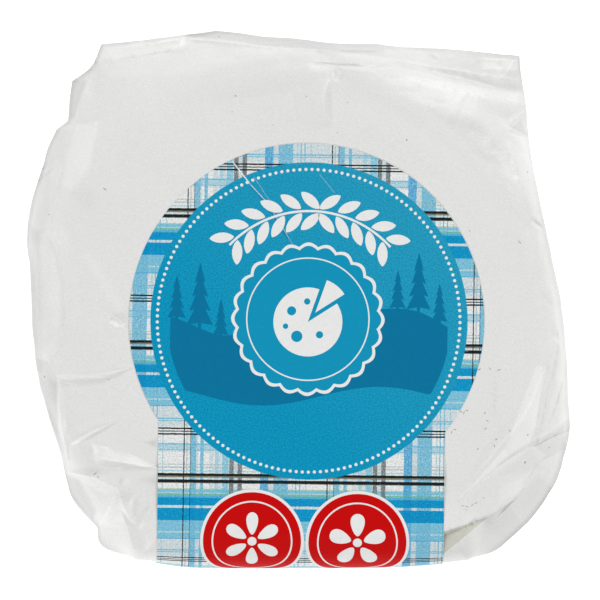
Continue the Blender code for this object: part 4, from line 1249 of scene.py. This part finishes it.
def buildDotRing():
    tree, given, result = printTree("ringOfDots", [("Radius", "m"), ("Count", "n"), ("Dot Radius", "m")])
    circle = addNode(tree, "GeometryNodeMeshCircle", {"Vertices": given["Count"], "Radius": given["Radius"]})
    dot = addNode(tree, "GeometryNodeMeshCylinder", {"Vertices": 10, "Radius": given["Dot Radius"],
                                                     "Depth": given["Thickness"]})
    dots = addNode(tree, "GeometryNodeInstanceOnPoints",
                   {"Points": circle.outputs[0], "Instance": dot.outputs[0]})
    inkInstances(tree, given, result, dots.outputs[0])
    r = dotRing
    values = {"Radius": r["radius"] * mm, "Count": r["count"], "Dot Radius": r["dot"] * mm}
    layPrint("printDots", tree, values, r["centre"], r["lift"])


garland = {
    "centre": (0.55, 0.0),
    "radius": 24.2,
    "halfSweep": math.radians(47.0),
    "pairs": 11,
    "leafLength": 5.4,
    "leafWidth": 2.3,
    "lean": math.radians(42.0),
    "offset": 2.35,
    "stem": 0.5,
    "lift": 0.03 * mm,
}


def leafBody(tree, given):
    # a disc drawn out to two points and closed at the bottom
    disc = addNode(tree, "GeometryNodeMeshCircle", {"Vertices": 18, "Radius": 0.5}, fill_type="NGON")
    spot = addNode(tree, "GeometryNodeInputPosition").outputs[0]
    x, y, _ = addNode(tree, "ShaderNodeSeparateXYZ", {0: spot}).outputs
    thin = mathNode(tree, "SQRT", mathNode(tree, "ABSOLUTE", mathNode(tree, "MULTIPLY", y, 2.0)))
    flat = addNode(tree, "ShaderNodeCombineXYZ", {
        "X": mathNode(tree, "MULTIPLY", x, given["Leaf Length"]),
        "Y": mathNode(tree, "MULTIPLY", mathNode(tree, "MULTIPLY", y, thin), given["Leaf Width"])})
    placed = addNode(tree, "GeometryNodeSetPosition", {
        "Geometry": disc.outputs[0], "Position": flat.outputs[0]})
    leaf = placed.outputs[0]
    body = addNode(tree, "GeometryNodeExtrudeMesh", {
        "Mesh": leaf, "Offset": (0.0, 0.0, 1.0), "Offset Scale": given["Thickness"], "Individual": False},
        mode="FACES")
    under = addNode(tree, "GeometryNodeFlipFaces", {"Mesh": leaf})
    closed = addNode(tree, "GeometryNodeJoinGeometry")
    for part in (body, under):
        tree.links.new(part.outputs[0], closed.inputs[0])
    return addNode(tree, "GeometryNodeMergeByDistance", {"Geometry": closed.outputs[0], "Distance": 1e-6})


def buildGarland():
    # leaves in pairs along an arc, mirrored left and right
    g = garland
    tree, given, result = printTree("leafGarland", [
        ("Radius", "m"), ("Half Sweep", "m"), ("Pairs", "n"), ("Leaf Length", "m"), ("Leaf Width", "m"),
        ("Lean", "m"), ("Offset", "m")])
    leaf = leafBody(tree, given)
    joined = addNode(tree, "GeometryNodeJoinGeometry")
    for side in (-1.0, 1.0):
        points = addNode(tree, "GeometryNodeCurveArc", {
            "Radius": mathNode(tree, "MULTIPLY_ADD", given["Offset"], side, given["Radius"]),
            "Start Angle": mathNode(tree, "SUBTRACT", math.pi / 2, given["Half Sweep"]),
            "Sweep Angle": mathNode(tree, "MULTIPLY", given["Half Sweep"], 2.0),
            "Resolution": given["Pairs"]}, mode="RADIUS")
        spots = addNode(tree, "GeometryNodeCurveToPoints", {"Curve": points.outputs[0]}, mode="EVALUATED")
        place = addNode(tree, "GeometryNodeInputPosition").outputs[0]
        x, y, _ = addNode(tree, "ShaderNodeSeparateXYZ", {0: place}).outputs
        tip = mathNode(tree, "MULTIPLY", mathNode(tree, "MULTIPLY", given["Lean"], side),
                       mathNode(tree, "SIGN", x))
        around = mathNode(tree, "ADD", mathNode(tree, "ARCTAN2", y, x), math.pi / 2)
        turn = addNode(tree, "ShaderNodeCombineXYZ", {"Z": mathNode(tree, "ADD", around, tip)})
        leaves = addNode(tree, "GeometryNodeInstanceOnPoints", {
            "Points": spots.outputs[0], "Instance": leaf.outputs[0], "Rotation": turn.outputs[0]})
        tree.links.new(leaves.outputs[0], joined.inputs[0])
    inkInstances(tree, given, result, joined.outputs[0])
    layPrint("printLeaves", tree, {
        "Radius": g["radius"] * mm, "Half Sweep": g["halfSweep"], "Pairs": g["pairs"],
        "Leaf Length": g["leafLength"] * mm, "Leaf Width": g["leafWidth"] * mm, "Lean": g["lean"],
        "Offset": g["offset"] * mm}, g["centre"], g["lift"])
    upper, lower = (arcPoints(g["centre"], g["radius"] + side * g["stem"] / 2, math.pi / 2 - g["halfSweep"],
                              2 * g["halfSweep"], 60) for side in (1, -1))
    printedPiece("printStem", [upper + lower[::-1]], g["lift"] * 0.8, materials["inkWhite"])


landscape = {
    "reach": 31.2,
    "centre": (0.55, 0.0),
    "firs": [(-28.6, 10.5), (-23.5, 15.5), (-18.85, 9.0), (20.0, 9.5), (24.6, 14.0), (29.2, 9.5)],
    "tiers": 4,
    "trunk": 0.35,
    "lift": 0.006 * mm,
}


def hillTop(x):
    return 1.2 + 3.4 * math.sin(x * 0.105 + 0.7) + 1.6 * math.sin(x * 0.23 + 2.1)


def hillFoot(x):
    return -16.5 + 2.2 * math.sin(x * 0.12 - 0.4)


def buildLandscape():
    reach, cx = landscape["reach"], landscape["centre"][0]

    def clipped(x, y):
        half = math.sqrt(max(0.0, reach ** 2 - (x - cx) ** 2))
        return max(-half, min(half, y))

    xs = [cx - reach + 2 * reach * i / 90 for i in range(91)]
    hills = [(x, clipped(x, hillTop(x))) for x in xs[1:-1]]
    hills += [(x, clipped(x, hillFoot(x)) - 0.001) for x in reversed(xs[1:-1])]
    printedPiece("printHills", [hills], landscape["lift"], materials["inkDeepBlue"])
    firs = []
    for x, height in landscape["firs"]:
        foot = hillTop(x) - 1.0
        right = [(landscape["trunk"], foot)]
        for tier in range(landscape["tiers"]):
            low = foot + height * (0.14 + 0.2 * tier)
            width = height * 0.19 * (1 - 0.2 * tier)
            inner = width * 0.5 if tier else landscape["trunk"]
            right += [(inner, low), (width, low - height * 0.03)]
        outline = [(x + dx, y) for dx, y in right] + [(x, foot + height)]
        outline += [(x - dx, y) for dx, y in reversed(right)]
        firs.append(outline)
    printedPiece("printFirs", firs, landscape["lift"] * 2.5, materials["inkDeepBlue"])


badge = {
    "centre": (0.3, 0.4),
    "radius": 16.0,
    "lobes": 24,
    "wave": 0.9,
    "line": 0.75,
    "innerRadius": 13.6,
    "innerLine": 0.3,
    "wheel": (0.3, -0.2),                   # a round cheese with one wedge drawn out of it
    "wheelRadius": 7.6,
    "cut": math.radians(38.0),
    "cutTurn": math.radians(52.0),
    "drawn": 2.6,
    "holes": [(-3.6, 1.8, 1.0), (-2.4, -3.8, 1.25), (2.6, -3.4, 0.8), (-0.2, 3.9, 0.7),
              (-4.9, -1.6, 0.6)],
    "lift": 0.014 * mm,
}


def buildBadge():
    b = badge
    centre, radius, lift = b["centre"], b["radius"], b["lift"]
    scallops, border, inner = (circlePoints(centre, radius - inset, 288, b["wave"], b["lobes"])
                               for inset in (0.0, b["line"], b["line"] / 2))
    printedPiece("printBadgeField", [inner], lift, materials["inkDiscBlue"])
    ring = tuple(circlePoints(centre, b["innerRadius"] - inset, 120) for inset in (0.0, b["innerLine"]))
    wheel, r, turn = b["wheel"], b["wheelRadius"], b["cutTurn"]
    rest = arcPoints(wheel, r, turn + b["cut"] / 2, math.tau - b["cut"], 60) + [wheel]
    tip = (wheel[0] + b["drawn"] * math.cos(turn), wheel[1] + b["drawn"] * math.sin(turn))
    wedge = [tip] + arcPoints(tip, r, turn - b["cut"] / 2, b["cut"], 12)
    lines = [(scallops, border), ring, rest, wedge]
    printedPiece("printBadgeLines", lines, lift * 1.7, materials["inkWhite"])
    holes = [circlePoints((centre[0] + x, centre[1] + y), size, 20) for x, y, size in b["holes"]]
    printedPiece("printBadgeHoles", holes, lift * 2.4, materials["inkDiscBlue"])


seals = {
    "centres": [(-11.4, -48.6), (11.8, -48.7)],
    "radius": 11.44,
    "border": 0.66,
    "ringRadius": 8.9,
    "ringLine": 0.35,
    "petals": [6, 5],
    "petalFrom": 1.5,
    "petalTo": 6.4,
    "petalsWidth": 15.0,                    # of all petals together
    "eye": 1.0,
    "lift": 0.02 * mm,
}


def petalOutline(centre, angle, inner, outer, width):
    points = []
    for i in range(24):
        a = math.tau * i / 24
        x = (inner + outer) / 2 + (outer - inner) / 2 * math.cos(a)
        y = width / 2 * math.sin(a) * (1.0 + 0.35 * math.cos(a))
        points.append((centre[0] + x * math.cos(angle) - y * math.sin(angle),
                       centre[1] + x * math.sin(angle) + y * math.cos(angle)))
    return points


def buildSeals():
    s = seals
    border, field, marks = [], [], []
    for centre, petals in zip(s["centres"], s["petals"]):
        border.append(circlePoints(centre, s["radius"], 96))
        field.append(circlePoints(centre, s["radius"] - s["border"], 96))
        ring = s["ringRadius"]
        marks.append((circlePoints(centre, ring, 96), circlePoints(centre, ring - s["ringLine"], 96)))
        for k in range(petals):
            angle = math.pi / 2 + math.tau * k / petals
            width = s["petalsWidth"] / petals
            marks.append(petalOutline(centre, angle, s["petalFrom"], s["petalTo"], width))
        marks.append(circlePoints(centre, s["eye"], 24))
    printedPiece("printSealBorders", border, s["lift"], materials["inkWhite"])
    printedPiece("printSealFields", field, s["lift"] * 2, materials["inkRed"])
    printedPiece("printSealMarks", marks, s["lift"] * 3, materials["inkWhite"])


# Tiny dark marks on the film: x, y, length and width in mm, turn in degrees
filmSpecks = {
    "marks": [
        (39.9, -15.4, 0.7, 0.2, 30), (42.2, -15.2, 0.6, 0.14, -40), (44.2, -15.5, 0.9, 0.14, 15),
        (37.8, -16.6, 0.4, 0.2, 80), (35.7, -24.6, 1.1, 0.14, -35), (36.5, -24.9, 0.9, 0.14, 70),
        (37.2, -24.4, 0.8, 0.14, 10), (41.1, -25.0, 0.7, 0.14, 60), (41.7, -26.7, 0.6, 0.14, -20),
        (41.3, -28.4, 0.8, 0.14, 40), (46.6, -28.9, 0.7, 0.14, -50), (43.6, -30.8, 0.7, 0.14, 20),
        (43.2, -32.2, 0.6, 0.14, -70), (39.5, -32.9, 0.6, 0.14, 35), (33.8, -29.2, 0.7, 0.14, 75),
        (34.5, -28.6, 0.6, 0.14, -10), (50.0, -35.9, 0.55, 0.36, 60), (50.6, -29.8, 0.4, 0.3, 0),
        (55.4, -32.6, 0.3, 0.26, 0), (36.2, -45.4, 0.9, 0.12, 10), (37.2, -45.6, 1.1, 0.12, -15),
        (38.4, -45.2, 0.9, 0.12, 40), (39.2, -44.8, 0.7, 0.12, 20), (37.0, -46.3, 0.5, 0.12, 0),
        (40.9, -43.7, 0.5, 0.12, -20), (-13.7, 44.8, 0.3, 0.3, 0), (-14.5, 41.3, 0.22, 0.2, 0),
        (-17.4, 58.0, 0.3, 0.28, 0), (-42.5, 24.3, 1.0, 0.14, -38), (-54.8, 18.7, 0.4, 0.2, 20),
        (23.9, 35.1, 0.34, 0.32, 0), (37.8, 15.1, 0.3, 0.18, 50), (48.8, 12.6, 1.1, 0.12, -50),
        (-55.8, -17.0, 0.4, 0.36, 0), (-44.7, -38.4, 0.9, 0.14, 25), (-44.0, -39.0, 0.5, 0.14, -60),
        (-41.6, -17.6, 0.24, 0.22, 0), (-44.1, -41.3, 0.24, 0.22, 0), (1.8, 44.6, 0.22, 0.2, 0),
        (10.9, 43.4, 0.2, 0.2, 0), (-5.5, 38.4, 0.2, 0.18, 0), (8.7, 36.7, 0.2, 0.18, 0)],
    "corners": 10,
    "above": 0.03 * mm,
    "sunk": 0.08 * mm,
}


def buildSpecks(film):
    # flat little bodies laid on the film, each turned to its surface
    specks = filmSpecks
    tree = BVHTree.FromObject(film, bpy.context.evaluated_depsgraph_get())
    points, faces = [], []
    for x, y, length, width, turn in specks["marks"]:
        spot, normal, _, _ = tree.ray_cast(Vector((x * mm, y * mm, 0.1)), Vector((0, 0, -1)))
        right = Vector((math.cos(math.radians(turn)), math.sin(math.radians(turn)), 0.0))
        right = (right - normal * right.dot(normal)).normalized()
        up = normal.cross(right)
        first, count = len(points), specks["corners"]
        for height in (-specks["sunk"], specks["above"]):
            for k in range(count):
                a = math.tau * k / count
                flat = right * (math.cos(a) * length / 2 * mm) + up * (math.sin(a) * width / 2 * mm)
                points.append(spot + flat + normal * height)
        faces.append([first + k for k in reversed(range(count))])
        faces.append([first + count + k for k in range(count)])
        for k in range(count):
            after = (k + 1) % count
            faces.append([first + k, first + after, first + count + after, first + count + k])
    mesh = meshFrom("filmSpecks", points, faces)
    placePiece("filmSpecks", mesh, materials["speck"])


groups = {"crumple": crumpleGroup(), "mottle": mottleGroup()}
materials = {"satinFilm": makeFilmMaterial(), "printedPaper": makePaperMaterial()}
for inkName, inkColour in inkLook["inks"].items():
    materials[inkName] = makeInk(inkName, inkColour)
print("materials made")

wrap = placePiece("filmWrap", buildFilm(), materials["satinFilm"], "wrapped_wheel")
buildSpecks(wrap)
placePiece("labelPaper", buildLabel(), None, "label")
buildDotRing()
buildLandscape()
buildBadge()
buildGarland()
buildSeals()
print("print laid on the label")

# Floor, light and camera
studio = {
    "floorSize": 6.0,
    "floor": (0.62, 0.62, 0.62, 1.0),
    "floorGlow": 0.68,
    "world": 0.52,
    "lamps": [("key", 100.0, 1.4, (2.0, 3.2, 2.9)), ("side", 9.0, 1.2, (3.6, -1.0, 2.9)),
              ("front", 74.0, 1.3, (-2.0, -3.2, 2.9)), ("left", 12.0, 1.2, (-3.7, 0.2, 2.9))],
    "cameraHeight": 4.6,
    "pixel": 0.22 * mm,                     # one pixel of the photograph on the label
    "pixels": 600,
    "middle": (298.0, 299.5),               # pixel over the origin
}


def makeStudio():
    s = studio
    mesh = meshFrom("floor", [(x * s["floorSize"], y * s["floorSize"], 0.0)
                              for x, y in ((-1, -1), (1, -1), (1, 1), (-1, 1))], [(0, 1, 2, 3)])
    floor = addObject("floor", mesh)
    material = newMaterial("paleFloor", {
        "Base Color": s["floor"], "Roughness": 0.9, "Specular IOR Level": 0.1,
        "Emission Color": (1.0, 1.0, 1.0, 1.0), "Emission Strength": s["floorGlow"]})[0]
    mesh.materials.append(material)
    world = bpy.data.worlds.new("softRoom")
    world.use_nodes = True
    sky = world.node_tree.nodes["Background"].inputs
    sky[0].default_value = (1.0, 1.0, 1.0, 1.0)
    sky[1].default_value = s["world"]
    bpy.context.scene.world = world
    for name, power, size, place in s["lamps"]:
        light = bpy.data.lights.new(name, "AREA")
        light.energy = power
        light.size = size
        lamp = addObject(name, light)
        lamp.location = place
        lamp.rotation_euler = (-lamp.location).to_track_quat("-Z", "Y").to_euler()
        lamp.visible_camera = False
    camera = bpy.data.cameras.new("camera")
    camera.sensor_width = 36.0
    above = s["cameraHeight"] - packForm["filmTop"]
    camera.lens = camera.sensor_width * above / (s["pixels"] * s["pixel"])
    eye = addObject("camera", camera)
    offset = [(s["pixels"] / 2 - middle) * s["pixel"] for middle in s["middle"]]
    eye.location = (offset[0], -offset[1], s["cameraHeight"])
    camera.clip_start, camera.clip_end = 0.1, 50.0
    bpy.context.scene.camera = eye
    bpy.context.scene.view_settings.view_transform = "Standard"


makeStudio()
print("studio ready")
